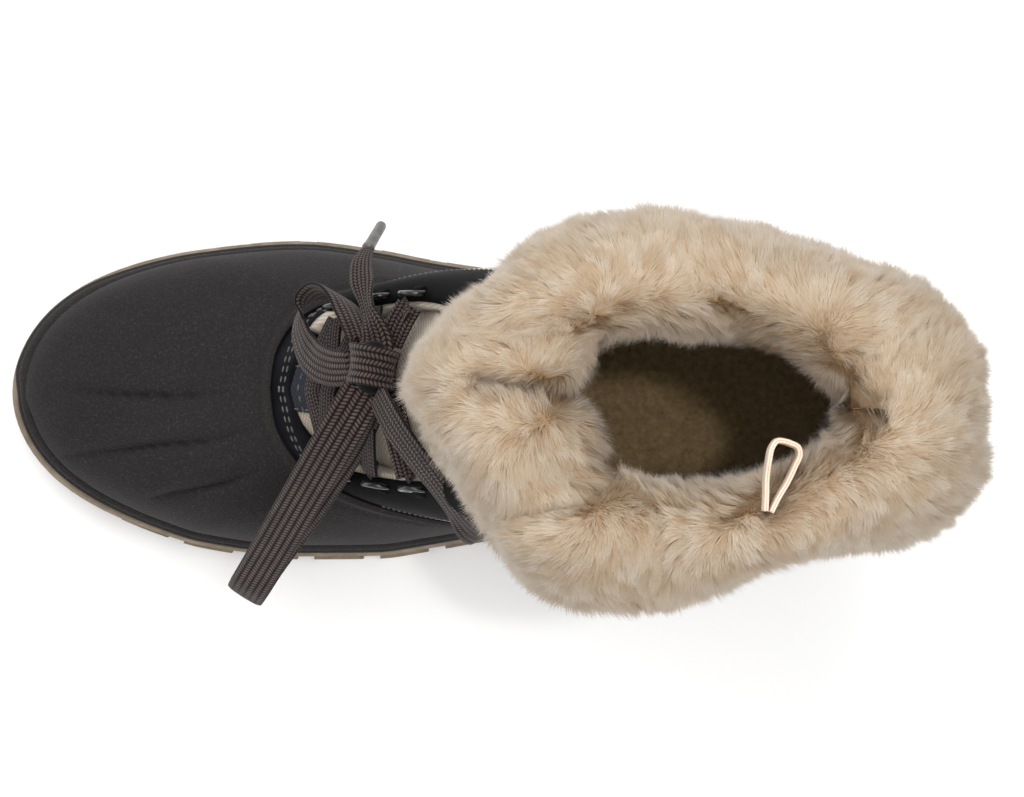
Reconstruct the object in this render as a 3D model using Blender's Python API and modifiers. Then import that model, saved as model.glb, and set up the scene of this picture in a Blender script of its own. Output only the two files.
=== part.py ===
"""A left women's winter duck boot, standing empty on its lugs.

Lengths are in millimetres until a mesh is made. A point is (a, y, z): a runs from the toe tip back
to the heel, y is positive on the medial side, and z is up from the floor. A place round the boot is
a turn from -1 to 1: 0 is the toe, 1 and -1 are the heel, and a positive turn is on the lateral side.
"""

import functools
import math

import bmesh
import bpy
import numpy as np

MM = 0.001
GAP = 0.3  # clearance between pieces that meet

# Driving dimensions
SOLE_LENGTH = 292.0
ORIGIN = np.array([156.5, -7.44, 0.0])  # on the floor, under the middle of the boot's box
SHELL_WALL = 3.0
SHELL_SEAT = 0.45  # between the shell's foot and the sole
SHELL_INSET = 3.4  # the shell's foot, in from the tips of the lugs
SHAFT_WALL = 6.0
SHAFT_ROOM = 0.8  # between the shaft's lap and the shell's inner face
SHAFT_LAP = 8.0  # the shaft's edge, tucked down inside the shell
INSOLE_THICK = 8.0
INSOLE_ROOM = 1.5  # between the insole's edge and the shell, whose wall leans in above it
TONGUE_THICK = 5.0
TONGUE_SHY = 1.2  # the tongue's crown below the level of the shaft's face
LUG_DEPTH = 5.0
LUG_PROUD = 1.2
LUG_PITCH = 22.5
LUG_GAP = 6.0
FRONT_EDGE = 0.16  # turn of the shaft's two front edges
FRONT_FAN = 0.27  # how much the collar's sections fan out at those edges
COLLAR_SEAT = 0.6  # between the collar's inside and the shaft's face


def table(columns, *rows):
    """Rows of numbers under named columns, as {name: array}."""
    return dict(zip(columns.split(), np.array(rows, float).T))


# The sole from toe to heel: half widths, height of the shell's foot, and underside of the lugs
SOLE = table(
    "at medial lateral top tread",
    (0, 1.5, -1.5, 25.0, 11.0),
    (15, 31.8, 28.4, 24.0, 6.2),
    (30, 41.4, 38.6, 22.8, 3.0),
    (50, 48.4, 47.4, 20.8, 0.8),
    (64, 51.2, 51.8, 19.8, 0.0),
    (98, 54.2, 55.8, 18.6, 0.0),
    (125, 51.2, 55.6, 18.8, 0.0),
    (142, 47.9, 53.2, 19.6, 0.0),
    (165, 44.2, 49.2, 21.4, 2.6),
    (190, 40.6, 46.2, 24.0, 2.6),
    (212, 39.0, 45.2, 26.0, 0.0),
    (250, 38.0, 45.0, 28.0, 0.0),
    (270, 33.2, 40.2, 28.4, 0.0),
    (284, 21.8, 28.8, 28.6, 0.0),
    (292, -3.5, 3.5, 28.6, 1.5),
)

# The shell's rim round the throat and the heel. Rise and reach are the lengths of the handles at
# the wall's foot and at its rim, and slope is the wall's fall outwards at the rim, in degrees.
RIM = table(
    "turn at medial lateral height rise reach slope",
    (0.00, 91.0, 1.5, -1.5, 71.0, 26, 46, 11),
    (0.08, 92.2, 11.0, 8.5, 70.9, 26, 45, 12),
    (0.16, 96.5, 20.5, 18.5, 70.4, 25, 42, 15),
    (0.25, 105.5, 28.0, 28.0, 69.4, 23, 37, 24),
    (0.32, 117.0, 32.0, 34.0, 68.4, 21, 31, 36),
    (0.40, 133.0, 35.5, 39.5, 67.6, 22, 25, 54),
    (0.50, 156.0, 37.0, 43.5, 68.4, 18, 18, 74),
    (0.60, 181.0, 36.0, 43.0, 72.0, 17, 17, 82),
    (0.72, 216.0, 33.5, 40.5, 78.0, 17, 17, 86),
    (0.82, 246.0, 30.5, 37.5, 83.0, 18, 18, 88),
    (0.92, 277.0, 19.0, 26.0, 87.0, 18, 18, 88),
    (1.00, 289.0, -3.5, 3.5, 88.0, 18, 18, 88),
)

# The shaft's columns: two handles and the top edge, each as distance, half width and height
SHAFT = table(
    "turn low_at low_half low_up high_at high_half high_up top_at top_half top_up",
    (0.00, 108.0, 0.0, 78, 150.0, 0.0, 130, 160.0, 0.0, 190),
    (0.16, 118.0, 24.0, 84, 152.0, 37.0, 130, 163.0, 14.0, 190),
    (0.20, 119.5, 28.5, 86, 154.5, 39.0, 131, 164.5, 19.5, 190),
    (0.25, 123.0, 33.0, 88, 159.0, 41.0, 132, 169.5, 26.5, 190),
    (0.32, 131.0, 36.5, 92, 167.0, 41.5, 136, 179.5, 33.5, 190),
    (0.40, 144.0, 38.5, 95, 178.0, 42.0, 140, 192.0, 39.0, 190),
    (0.50, 164.0, 39.5, 101, 198.0, 41.5, 148, 210.0, 41.0, 190),
    (0.60, 186.0, 38.5, 108, 220.0, 40.5, 150, 229.0, 40.0, 190),
    (0.72, 219.0, 35.0, 114, 246.0, 36.5, 152, 251.0, 35.5, 190),
    (0.82, 246.0, 31.0, 120, 265.5, 29.0, 154, 269.0, 28.0, 190),
    (0.92, 273.0, 19.5, 124, 282.0, 16.0, 156, 284.0, 15.0, 190),
    (1.00, 282.0, 0.0, 126, 288.0, 0.0, 158, 289.0, 0.0, 190),
)

# The collar's section round the shaft's top edge: shares of the fleece's thickness outside and
# inside the shaft's face, and height
COLLAR = table(
    "share up",
    (0.00, 172.0),
    (0.38, 169.5),
    (0.72, 174.0),
    (0.94, 186.0),
    (1.00, 203.0),
    (0.87, 220.0),
    (0.47, 232.0),
    (-0.08, 236.0),
    (-0.58, 231.0),
    (-0.92, 219.0),
    (-1.00, 205.0),
    (-0.83, 194.0),
    (-0.54, 191.6),
    (0.00, 191.6),
)

# The fleece's thickness: outside on each side of the boot, and inside
FLEECE = table(
    "turn medial lateral inside",
    (0.00, 18.5, 18.5, 27.0),
    (0.16, 15.5, 14.5, 27.0),
    (0.20, 13.0, 12.0, 26.0),
    (0.25, 10.5, 13.0, 24.0),
    (0.32, 13.0, 19.0, 20.0),
    (0.45, 15.5, 20.5, 18.0),
    (0.52, 16.5, 19.0, 17.5),
    (0.60, 16.5, 15.5, 17.5),
    (0.68, 16.5, 11.5, 17.5),
    (0.77, 16.0, 11.0, 17.5),
    (0.86, 17.0, 15.0, 18.0),
    (0.93, 20.5, 20.5, 18.0),
    (1.00, 24.0, 24.0, 18.0),
)

# Lace loops and lacing
LOOP_LEVELS = (0.25, 0.43, 0.60)  # up the shaft's columns
LOOP_TURN = 0.197
LOOP_WIRE = 2.2
LOOP_LONG = 10.5
LOOP_DEPTH = 7.5
LOOP_LEAN = 25.0
LACE_TURN = 0.125
LACE_LIFT = 2.2
LACE_BOW = 2.4  # how much higher a crossing stands at its middle
LACE_WIDE = 7.0
LACE_THICK = 2.4
CORD_TUBE = 4.0
KNOT = np.array([127.0, 6.4, 128.0])
KNOT_RADII = np.array([6.2, 8.0, 5.4])
AGLET_WIDE = 3.4

# The free laces, by hand: each bow loop runs from the knot round and back to it
ROUTES = {
    "bow_loop_side": (
        (124.0, -1.2, 129.4), (119.5, -9.0, 130.0), (114.0, -18.0, 126.0), (107.5, -28.5, 117.0),
        (100.5, -39.5, 105.5), (93.5, -50.5, 93.0), (87.5, -59.5, 82.0), (83.6, -65.3, 73.5),
        (82.6, -66.8, 66.5), (84.4, -64.0, 62.6), (88.6, -57.5, 63.6), (94.0, -49.5, 70.5),
        (100.5, -39.5, 81.5), (107.0, -29.0, 93.5), (113.5, -19.0, 105.0), (119.0, -10.0, 114.5),
        (122.8, -3.0, 121.0),
    ),
    "bow_loop_front": (
        (119.6, 6.3, 126.4), (113.0, 6.8, 118.5), (107.6, 9.5, 110.5), (103.4, 15.5, 103.5),
        (102.0, 22.0, 100.0), (103.6, 28.0, 100.5), (108.4, 31.8, 105.0), (114.0, 30.6, 111.5),
        (118.6, 25.6, 118.0), (121.4, 20.0, 123.2), (123.2, 15.6, 126.3),
    ),
    "lace_end_tip": (
        (128.0, 15.3, 128.4), (126.6, 21.0, 127.6), (124.6, 28.0, 124.0), (123.0, 35.0, 118.5),
        (122.8, 41.0, 112.5), (124.2, 45.0, 107.0),
    ),
    "lace_end_side": (
        (126.2, -3.4, 131.8), (127.4, -8.0, 136.5), (130.5, -14.0, 140.5), (135.0, -20.5, 143.0),
        (140.2, -27.0, 144.0), (146.0, -33.5, 143.0), (151.5, -39.5, 139.5), (156.5, -44.5, 133.0),
        (160.0, -46.3, 124.0), (161.4, -46.2, 114.0), (161.6, -46.2, 104.0),
    ),
}
AGLETS = {
    "aglet_tip": ((124.4, 45.5, 106.4), (129.0, 54.5, 96.5)),
    "aglet_side": ((161.6, -46.3, 103.3), (162.4, -46.8, 83.0)),
}

# The pull tab's ribbon
TAB_FOOT = np.array([246.0, -39.5, 241.2])
TAB_RUN = np.array([0.26, 0.97, 0.0])  # the way it points
TAB_SIDE = np.array([0.97, -0.26, 0.0])
TAB_LONG = 21.0
TAB_OPEN = 9.0
TAB_WIDE = 14.0
TAB_THICK = 1.2

TURNS = [0, 0.04, 0.08, 0.12, 0.16, 0.20, 0.25, 0.30, 0.35, 0.40, 0.45, 0.50]
TURNS += [0.56, 0.62, 0.68, 0.74, 0.80, 0.85, 0.90, 0.95, 1.0]
SHELL_ROWS = [0, 0.1, 0.22, 0.34, 0.46, 0.58, 0.7, 0.8, 0.9, 1.0]
SHAFT_ROWS = [0, 0.1, 0.2, 0.32, 0.44, 0.56, 0.68, 0.8, 0.9, 1.0]
TONGUE_ROWS = [0.115, 0.2, 0.32, 0.44, 0.56, 0.68, 0.8, 0.9, 0.985]
BAND_ROW = 3  # rows of the shaft, counted from its tucked edge, that cross the throat's front

# sRGB colour, roughness, metallic
MATERIALS = {
    "outsole": ("#B9AA98", 0.8, 0),
    "insole": ("#5C4C35", 0.95, 0),
    "shell": ("#34322E", 0.7, 0),
    "shaft": ("#22242A", 0.6, 0),
    "tongue": ("#CFC0AE", 0.7, 0),
    "collar": ("#D9C6A8", 1.0, 0),
    "pull_tab": ("#EBD3BD", 0.7, 0),
    "lacing": ("#554B46", 0.85, 0),
    "lace_knot": ("#554B46", 0.85, 0),
    "bow_loop_front": ("#554B46", 0.85, 0),
    "bow_loop_side": ("#554B46", 0.85, 0),
    "lace_end_tip": ("#554B46", 0.85, 0),
    "lace_end_side": ("#554B46", 0.85, 0),
    "aglet": ("#4A3F3A", 0.35, 0),
    "lace_loop": ("#15161A", 0.3, 1),
}


def smooth(x, xs, ys):
    """A curve through the points that never overshoots between two of them."""
    h = np.diff(xs)
    d = np.diff(ys) / h
    m = np.zeros(len(xs))
    same = d[:-1] * d[1:] > 0
    w1, w2 = (2 * h[1:] + h[:-1])[same], (h[1:] + 2 * h[:-1])[same]
    m[1:-1][same] = (w1 + w2) / (w1 / d[:-1][same] + w2 / d[1:][same])
    m[0], m[-1] = d[0], d[-1]
    i = int(np.clip(np.searchsorted(xs, x) - 1, 0, len(h) - 1))
    t = (x - xs[i]) / h[i]
    basis = (2 * t**3 - 3 * t**2 + 1, t**3 - 2 * t**2 + t, 3 * t**2 - 2 * t**3, t**3 - t**2)
    return float(np.dot(basis, (ys[i], h[i] * m[i], ys[i + 1], h[i] * m[i + 1])))


def around(at):
    """A distance from the toe as an angle, in which the sole's round ends run straight."""
    return np.arccos(np.clip(1 - 2 * np.asarray(at, float) / SOLE_LENGTH, -1, 1))


def sole(name, at):
    return smooth(float(around(at)), around(SOLE["at"]), SOLE[name])


def sole_edges(count=400):
    """The outline's two sides, as {side: (length, points evenly spaced from toe to heel)}."""
    at = SOLE_LENGTH * (1 - np.cos(np.linspace(0, math.pi, count))) / 2
    edges = {}
    for side, name in ((1, "medial"), (-1, "lateral")):
        line = np.stack([at, [side * sole(name, a) for a in at]], 1)
        steps = np.linalg.norm(np.diff(line, axis=0), axis=1)
        along = np.concatenate([[0], np.cumsum(steps)])
        even = np.linspace(0, along[-1], count)
        line = np.stack([np.interp(even, along, line[:, k]) for k in (0, 1)], 1)
        edges[side] = along[-1], line
    return edges


EDGES = sole_edges()


def wrap(turn):
    return (turn + 1) % 2 - 1


def side_of(turn):
    return -1 if wrap(turn) >= 0 else 1


def unit(v):
    return v / np.linalg.norm(v)


def edge(turn, inset=0.0):
    """A point of the sole's outline, moved inwards, and the outward direction there."""

    def place(t):
        line = EDGES[side_of(t)][1]
        at = abs(wrap(t)) * (len(line) - 1)
        low = min(int(at), len(line) - 2)
        return line[low] + (at - low) * (line[low + 1] - line[low])

    along = unit(place(turn + 0.012) - place(turn - 0.012))
    out = np.array([along[1], -along[0]])
    return place(turn) - inset * out, out


def bezier(p0, p1, p2, p3, t):
    s = 1 - t
    return s**3 * p0 + 3 * s * s * t * p1 + 3 * s * t * t * p2 + t**3 * p3


def rim(turn):
    """A point of the shell's rim."""
    side, share = side_of(turn), abs(wrap(turn))
    half = smooth(share, RIM["turn"], RIM["medial" if side > 0 else "lateral"])
    at, height = (smooth(share, RIM["turn"], RIM[name]) for name in ("at", "height"))
    return np.array([at, side * half, height])


@functools.cache
def shell_column(turn):
    """The four points that a column of the shell is drawn from."""
    share = abs(wrap(turn))
    rise, reach, slope = (smooth(share, RIM["turn"], RIM[k]) for k in ("rise", "reach", "slope"))
    (a, y), out = edge(turn, SHELL_INSET)
    foot = np.array([a, y, sole("top", a) + SHELL_SEAT])
    top = rim(turn)
    away = unit((foot - top)[:2] + 8 * out)
    fall = math.radians(slope)
    up = foot + rise * np.array([*(0.07 * out), 1.0])
    down = top + reach * np.array([*(math.cos(fall) * away), -math.sin(fall)])
    return foot, up, down, top


def shell(turn, t):
    """The shell's outer face: t runs from its foot, 0, to its rim, 1."""
    return bezier(*shell_column(turn), t)


def drift(at, height):
    """How far the shaft's middle stands off the sole's axis: to the lateral side, behind and up."""
    heel = np.interp(at, (130, 230), (0, 2.5))
    lean = np.interp(at, (150, 185), (0, 6.5)) * (height - 70) / 120
    return -heel - lean


@functools.cache
def shaft_point(turn, name):
    """One of the points that a column of the shaft is drawn from: low, high or top."""
    share = abs(wrap(turn))
    at, half, up = (smooth(share, SHAFT["turn"], SHAFT[f"{name}_{k}"]) for k in ("at", "half", "up"))
    return np.array([at, side_of(turn) * half + drift(at, up), up])


@functools.cache
def shaft_column(turn):
    """The four points that a column of the shaft is drawn from."""
    foot = sunk(shell, turn, 1.0, SHELL_WALL + SHAFT_ROOM)
    return foot, *(shaft_point(turn, name) for name in ("low", "high", "top"))


def shaft(turn, t):
    """The shaft's outer face: t runs from inside the shell's rim, 0, to the top edge, 1."""
    return bezier(*shaft_column(turn), t)


def normal(surface, turn, t, step=0.01):
    """The outward direction of a surface."""
    t = min(max(t, step), 1 - step)
    across = surface(turn + step, t) - surface(turn - step, t)
    up = surface(turn, t + step) - surface(turn, t - step)
    return unit(np.cross(across, up))


def sunk(surface, turn, t, depth):
    """A point at a depth below a surface."""
    return surface(turn, t) - depth * normal(surface, turn, t)


def linear(code):
    """An sRGB hex colour as linear RGBA."""
    parts = [int(code[i : i + 2], 16) / 255 for i in (1, 3, 5)]
    return (*(c / 12.92 if c <= 0.04045 else ((c + 0.055) / 1.055) ** 2.4 for c in parts), 1.0)


def material(name):
    if name in bpy.data.materials:
        return bpy.data.materials[name]
    made = bpy.data.materials.new(name)
    made.use_nodes = True
    shader = made.node_tree.nodes["Principled BSDF"]
    colour, roughness, metallic = MATERIALS[name]
    shader.inputs["Base Color"].default_value = linear(colour)
    shader.inputs["Roughness"].default_value = roughness
    shader.inputs["Metallic"].default_value = metallic
    return made


def add(name, build, kind=None, wall=0.0):
    """An object of the mesh in build. A surface gets a wall of the given thickness inwards."""
    bmesh.ops.remove_doubles(build, verts=build.verts, dist=1e-4)
    for vert in build.verts:
        vert.co = MM * (np.array(vert.co) - ORIGIN)
    mesh = bpy.data.meshes.new(name)
    build.to_mesh(mesh)
    build.free()
    mesh.shade_smooth()
    mesh.set_sharp_from_angle(angle=math.radians(35))
    mesh.materials.append(material(kind or name))
    piece = bpy.data.objects.new(name, mesh)
    COLLECTION.objects.link(piece)
    if wall:
        solid = piece.modifiers.new("wall", "SOLIDIFY")
        solid.thickness = wall * MM
        solid.offset = -1.0
    return piece


def grid(rows, closed=False, keep=lambda row, column: True):
    """A surface of quads through rows of points, without the quads that keep leaves out."""
    build = bmesh.new()
    verts = [[build.verts.new(p) for p in row] for row in rows]
    count = len(rows[0])
    for j in range(len(rows) - 1):
        for i in range(count if closed else count - 1):
            k = (i + 1) % count
            if keep(j, i):
                build.faces.new((verts[j][i], verts[j][k], verts[j + 1][k], verts[j + 1][i]))
    loose = [v for v in build.verts if not v.link_faces]
    bmesh.ops.delete(build, geom=loose, context="VERTS")
    return build


def once_round(shares):
    """Turns once round the boot, from the toe along the lateral side."""
    return list(shares) + [-s for s in shares[-2:0:-1]]


def span(build, ring, middle=None, up=True):
    """Closes a ring from side to side, through middle's vertices if given; the faces of each row."""
    half = len(ring) // 2
    middle = middle or [None] * (half + 1)
    faces = []
    for k in range(half):
        row = []
        lateral = [ring[k], ring[k + 1]]
        medial = [ring[(2 * half - k - 1) % len(ring)], ring[(2 * half - k) % len(ring)]]
        if middle[k] is None:
            loops = [lateral + medial]
        else:
            loops = [lateral + [middle[k + 1], middle[k]], [middle[k], middle[k + 1]] + medial]
        for loop in loops:
            loop = list(dict.fromkeys(loop))
            if len(loop) > 2:
                row.append(build.faces.new(loop if up else loop[::-1]))
        faces.append(row)
    return faces


def make_outsole():
    """A body between rings, then lugs drawn out of its underside and its edge."""
    length = np.mean([EDGES[side][0] for side in EDGES])
    count = round(length / LUG_PITCH)
    pitch = length / count
    first = (pitch - LUG_GAP) / 2
    marks = [0.0]
    for i in range(count):
        marks += [first + i * pitch, first + LUG_GAP + i * pitch]
    turns = once_round([mark / length for mark in marks] + [1.0])
    columns, half = len(turns), len(turns) // 2
    in_lug = [min(i, columns - 1 - i) % 2 == 0 for i in range(columns)]

    # Rings from the middle of the underside out to the edge and up to the top, and what the
    # corners of a lug are moved by: outwards and down
    profile = (
        (24.0, "tread", LUG_DEPTH, 0.0, LUG_DEPTH),
        (19.0, "tread", LUG_DEPTH, 0.0, LUG_DEPTH),
        (LUG_PROUD, "tread", LUG_DEPTH, 0.8 * LUG_PROUD, LUG_DEPTH),
        (LUG_PROUD, "tread", LUG_DEPTH + 5.0, LUG_PROUD, 0.0),
        (LUG_PROUD, "top", -1.2, 0.0, 0.0),
        (LUG_PROUD + 1.0, "top", 0.0, 0.0, 0.0),
    )
    build = bmesh.new()
    moves = build.verts.layers.float_vector.new("move")

    def corner(point, move):
        vert = build.verts.new(point)
        vert[moves] = move
        return vert

    rings = []
    for inset, name, rise, proud, depth in profile:
        ring = []
        for turn in turns:
            (a, y), out = edge(turn, inset)
            ring.append(corner((a, y, sole(name, a) + rise), (*(proud * out), -depth)))
        rings.append(ring)
    middle = [rings[0][0]]
    for k in range(1, half):
        lateral, medial = np.array(rings[0][k].co), np.array(rings[0][-k].co)
        a, y, _ = (lateral + medial) / 2 - (0.15 * (medial[1] - lateral[1]), 0, 0)
        middle.append(corner((a, y, sole("tread", a) + LUG_DEPTH), (0, 0, -LUG_DEPTH)))
    middle.append(rings[0][half])

    lugs = []
    for j, (low, high) in enumerate(zip(rings, rings[1:])):
        for i in range(columns):
            k = (i + 1) % columns
            face = build.faces.new((low[i], low[k], high[k], high[i]))
            if in_lug[i] and j in (1, 2):
                lugs.append(face)
    span(build, rings[-1])
    for faces, k in zip(span(build, rings[0], middle, up=False), range(half)):
        if in_lug[k] and 1 < k < half - 1:
            lugs += faces
    drawn = bmesh.ops.extrude_face_region(build, geom=lugs)["geom"]
    for vert in (v for v in drawn if isinstance(v, bmesh.types.BMVert)):
        vert.co += vert[moves]
    bmesh.ops.delete(build, geom=lugs, context="FACES")
    return add("outsole", build)


def make_insole():
    foot = SHELL_INSET + SHELL_WALL + INSOLE_ROOM
    profile = ((foot, 2 * GAP), (foot, INSOLE_THICK - 1.5), (foot + 1.5, INSOLE_THICK))
    turns = once_round(TURNS)
    build = bmesh.new()
    rings = []
    for inset, rise in profile:
        places = [edge(turn, inset)[0] for turn in turns]
        rings.append([build.verts.new((a, y, sole("top", a) + rise)) for a, y in places])
    for low, high in zip(rings, rings[1:]):
        for i in range(len(turns)):
            k = (i + 1) % len(turns)
            build.faces.new((low[i], low[k], high[k], high[i]))
    span(build, rings[-1])
    span(build, rings[0], up=False)
    return add("insole", build)


def make_shell():
    rows = [[shell(turn, t) for turn in once_round(TURNS)] for t in SHELL_ROWS]
    return add("shell", grid(rows, closed=True), wall=SHELL_WALL)


def make_shaft():
    turns = once_round(TURNS)

    def point(row, turn):
        if row < 2:  # down inside the shell, along its own face
            lap = SHAFT_LAP * (1 - row / 2) / np.linalg.norm(shell(turn, 0) - rim(turn))
            return sunk(shell, turn, 1 - lap, SHELL_WALL + SHAFT_ROOM)
        return shaft(turn, SHAFT_ROWS[row - 2])

    rows = [[point(row, turn) for turn in turns] for row in range(len(SHAFT_ROWS) + 2)]
    open_front = [wrap(t) < FRONT_EDGE - 0.001 and wrap(t) > -FRONT_EDGE - 0.001 for t in turns]
    build = grid(rows, closed=True, keep=lambda row, i: row < BAND_ROW or not open_front[i])
    return add("shaft", build, wall=SHAFT_WALL)


def tongue(turn, t):
    """The tongue's face: under the shaft's edges, and nearly out to their level between them."""
    under = SHAFT_WALL + 3 * GAP
    bulge = max(0.0, 1 - (turn / FRONT_EDGE) ** 2)
    return sunk(shaft, turn, t, under - bulge * (under - TONGUE_SHY))


def make_tongue():
    turns = [-0.25, -0.2, -0.16, -0.12, -0.08, -0.04, 0, 0.04, 0.08, 0.12, 0.16, 0.2, 0.25]
    rows = [[tongue(turn, t) for turn in turns] for t in TONGUE_ROWS]
    return add("tongue", grid(rows), wall=TONGUE_THICK)


def shaft_at(turn, height):
    """The point of the shaft's face at a height, carried on across the front gap."""
    low, high = 0.0, 1.0
    while high - low > 1e-4:
        t = (low + high) / 2
        low, high = (t, high) if shaft(turn, t)[2] < height else (low, t)
    return shaft(turn, low)


def make_collar():
    """A thick ring over the shaft's top edge, open at the front with its two ends side by side."""
    turns = [0.025, 0.08] + [t for t in TURNS if t > 0.1]
    turns += [-t for t in turns[-2::-1]]
    sections = []
    for turn in turns:
        along = shaft_point(turn + 0.01, "top") - shaft_point(turn - 0.01, "top")
        out = unit(np.array([along[1], -along[0], 0.0]))
        if abs(turn) < FRONT_EDGE:
            out = unit(np.array([-1.0, -FRONT_FAN * turn / FRONT_EDGE, 0.0]))
        side = "medial" if side_of(turn) > 0 else "lateral"
        outside, inside = (smooth(abs(turn), FLEECE["turn"], FLEECE[k]) for k in (side, "inside"))
        section = []
        for share, up in zip(COLLAR["share"], COLLAR["up"]):
            r = share * inside if share < 0 else COLLAR_SEAT + share * (outside - COLLAR_SEAT)
            section.append(shaft_at(turn, up) * (1, 1, 0) + r * out + (0, 0, up))
        sections.append(section)
    rows = [[section[i] for section in sections] for i in range(len(COLLAR["share"]))]
    build = grid(rows + rows[:1])
    bmesh.ops.remove_doubles(build, verts=build.verts, dist=1e-4)
    bmesh.ops.holes_fill(build, edges=build.edges)
    bmesh.ops.recalc_face_normals(build, faces=build.faces)
    return add("collar", build)


def sweep(path, ups, width, thick, closed=False):
    """A flat band along a path, with its thickness towards ups."""
    rows = []
    count = len(path)
    for i, (point, up) in enumerate(zip(path, ups)):
        ahead = path[(i + 1) % count] if closed else path[min(i + 1, count - 1)]
        behind = path[i - 1] if closed or i else path[0]
        side = unit(np.cross(ahead - behind, up))
        up = unit(np.cross(side, ahead - behind))
        corners = ((-1, -1), (1, -1), (1, 1), (-1, 1))
        rows.append([point + x * width / 2 * side + y * thick / 2 * up for x, y in corners])
    build = grid(rows + rows[:1] if closed else rows, closed=True)
    bmesh.ops.remove_doubles(build, verts=build.verts, dist=1e-4)
    if not closed:
        bmesh.ops.holes_fill(build, edges=build.edges)
    bmesh.ops.recalc_face_normals(build, faces=build.faces)
    return build


def lifted(turn, t, lift):
    """A point above the shaft's face or its course across the gap, and the direction up there."""
    up = normal(shaft, turn, t)
    return shaft(turn, t) + lift * up, up


def make_lace_loops():
    """Wire D's along the shaft's front edges, opening away from the gap."""
    count = 12
    for side, hand in ((1, "medial"), (-1, "lateral")):
        for level, t in enumerate(LOOP_LEVELS, 1):
            turn = -side * LOOP_TURN
            foot, up = lifted(turn, t, LOOP_WIRE / 2 + GAP + 0.2)
            run = unit(shaft(turn, t + 0.02) - shaft(turn, t - 0.02))
            across = unit(np.cross(run, up)) * side
            lean = math.radians(LOOP_LEAN)
            out = math.cos(lean) * across + math.sin(lean) * up
            points = []
            for k in range(count):
                angle = 2 * math.pi * k / count
                x = max(-0.15, math.cos(angle)) * LOOP_DEPTH / 1.15
                points.append(foot + out * (x + 0.15 * LOOP_DEPTH) + run * math.sin(angle) * LOOP_LONG / 2)
            tube(f"lace_loop_{hand}_{level}", points, LOOP_WIRE, "lace_loop", closed=True)


def tube(name, points, diameter, kind=None, closed=False):
    """A round tube along a list of points, with caps unless it is closed."""
    curve = bpy.data.curves.new(name, "CURVE")
    curve.dimensions = "3D"
    line = curve.splines.new("POLY")
    line.points.add(len(points) - 1)
    for point, place in zip(line.points, points):
        point.co = (*(MM * (np.array(place) - ORIGIN)), 1)
    line.use_cyclic_u = closed
    curve.bevel_depth = diameter / 2 * MM
    curve.bevel_resolution = 1 if closed else 2
    curve.use_fill_caps = not closed
    curve.materials.append(material(kind or name))
    piece = bpy.data.objects.new(name, curve)
    COLLECTION.objects.link(piece)
    return piece


def smooth_path(points, step):
    """A smooth curve through points, read about every step."""
    points = np.array(points, float)
    along = np.concatenate([[0], np.cumsum(np.linalg.norm(np.diff(points, axis=0), axis=1))])
    slopes = np.gradient(points, along, axis=0)
    places = np.linspace(0, along[-1], max(3, round(along[-1] / step) + 1))
    found = []
    for place in places:
        i = int(np.clip(np.searchsorted(along, place) - 1, 0, len(points) - 2))
        h = along[i + 1] - along[i]
        handles = points[i] + h / 3 * slopes[i], points[i + 1] - h / 3 * slopes[i + 1]
        found.append(bezier(points[i], *handles, points[i + 1], (place - along[i]) / h))
    return found


def make_lacing():
    """The lace's crossings over the tongue and its two runs to the knot, joined into one."""
    runs = [((-LACE_TURN, LOOP_LEVELS[0]), (LACE_TURN, LOOP_LEVELS[0]))]
    for low, high in zip(LOOP_LEVELS, LOOP_LEVELS[1:]):
        runs += [((side * LACE_TURN, low), (-side * LACE_TURN, high)) for side in (1, -1)]
    strands = []
    for number, ((turn_a, t_a), (turn_b, t_b)) in enumerate(runs):
        path, ups = [], []
        for s in np.linspace(-0.03, 1.03, 7):
            lift = LACE_LIFT + 0.3 * ((number + 1) % 3) + LACE_BOW * math.sin(math.pi * s)
            point, up = lifted(turn_a + s * (turn_b - turn_a), t_a + s * (t_b - t_a), lift)
            path.append(point)
            ups.append(up)
        strands.append((path, ups))
    for side in (1, -1):
        start, up = lifted(-side * LACE_TURN, LOOP_LEVELS[-1], LACE_LIFT)
        end = KNOT + (8.5, side * 10.5, 2.5)
        path = [start + s * (end - start) for s in (0, 0.33, 0.67, 1)]
        strands.append((path, [up] * 4))
    pieces = []
    for k, (path, ups) in enumerate(strands):
        kind = "lacing" if k == 0 else f"lacing_run_{k}"
        pieces.append(add(kind, sweep(path, ups, LACE_WIDE, LACE_THICK), kind="lacing"))
    for piece in pieces[1:]:
        COLLECTION.objects.unlink(piece)
        CUTTERS.objects.link(piece)
        piece.hide_render = True
        piece.display_type = "WIRE"
        join = pieces[0].modifiers.new(piece.name, "BOOLEAN")
        join.operation, join.object = "UNION", piece
    return pieces[0]


def make_bow():
    build = bmesh.new()
    bmesh.ops.create_uvsphere(build, u_segments=12, v_segments=7, radius=1)
    for vert in build.verts:
        vert.co = KNOT + np.array(vert.co) * KNOT_RADII
    add("lace_knot", build)
    for name, route in ROUTES.items():
        tube(name, smooth_path(route, 8.0), CORD_TUBE)
    for name, (start, end) in AGLETS.items():
        tube(name, [np.array(start), (np.array(start) + end) / 2, np.array(end)], AGLET_WIDE, "aglet")


def make_pull_tab():
    """A ribbon standing on its edge, its ends together at the collar and a round bight inside."""
    path = []
    for k in range(16):
        angle = 2 * math.pi * k / 16
        swell = TAB_OPEN / 2 * math.sin(angle) * (0.35 - 0.65 * math.cos(angle))
        path.append(TAB_FOOT + TAB_LONG * (1 - math.cos(angle)) / 2 * TAB_RUN + swell * TAB_SIDE)
    up = np.array([0.0, 0.0, 1.0])
    sides = [np.cross(path[(k + 1) % 16] - path[k - 1], up) for k in range(16)]
    return add("pull_tab", sweep(path, sides, TAB_WIDE, TAB_THICK, closed=True))


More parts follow.
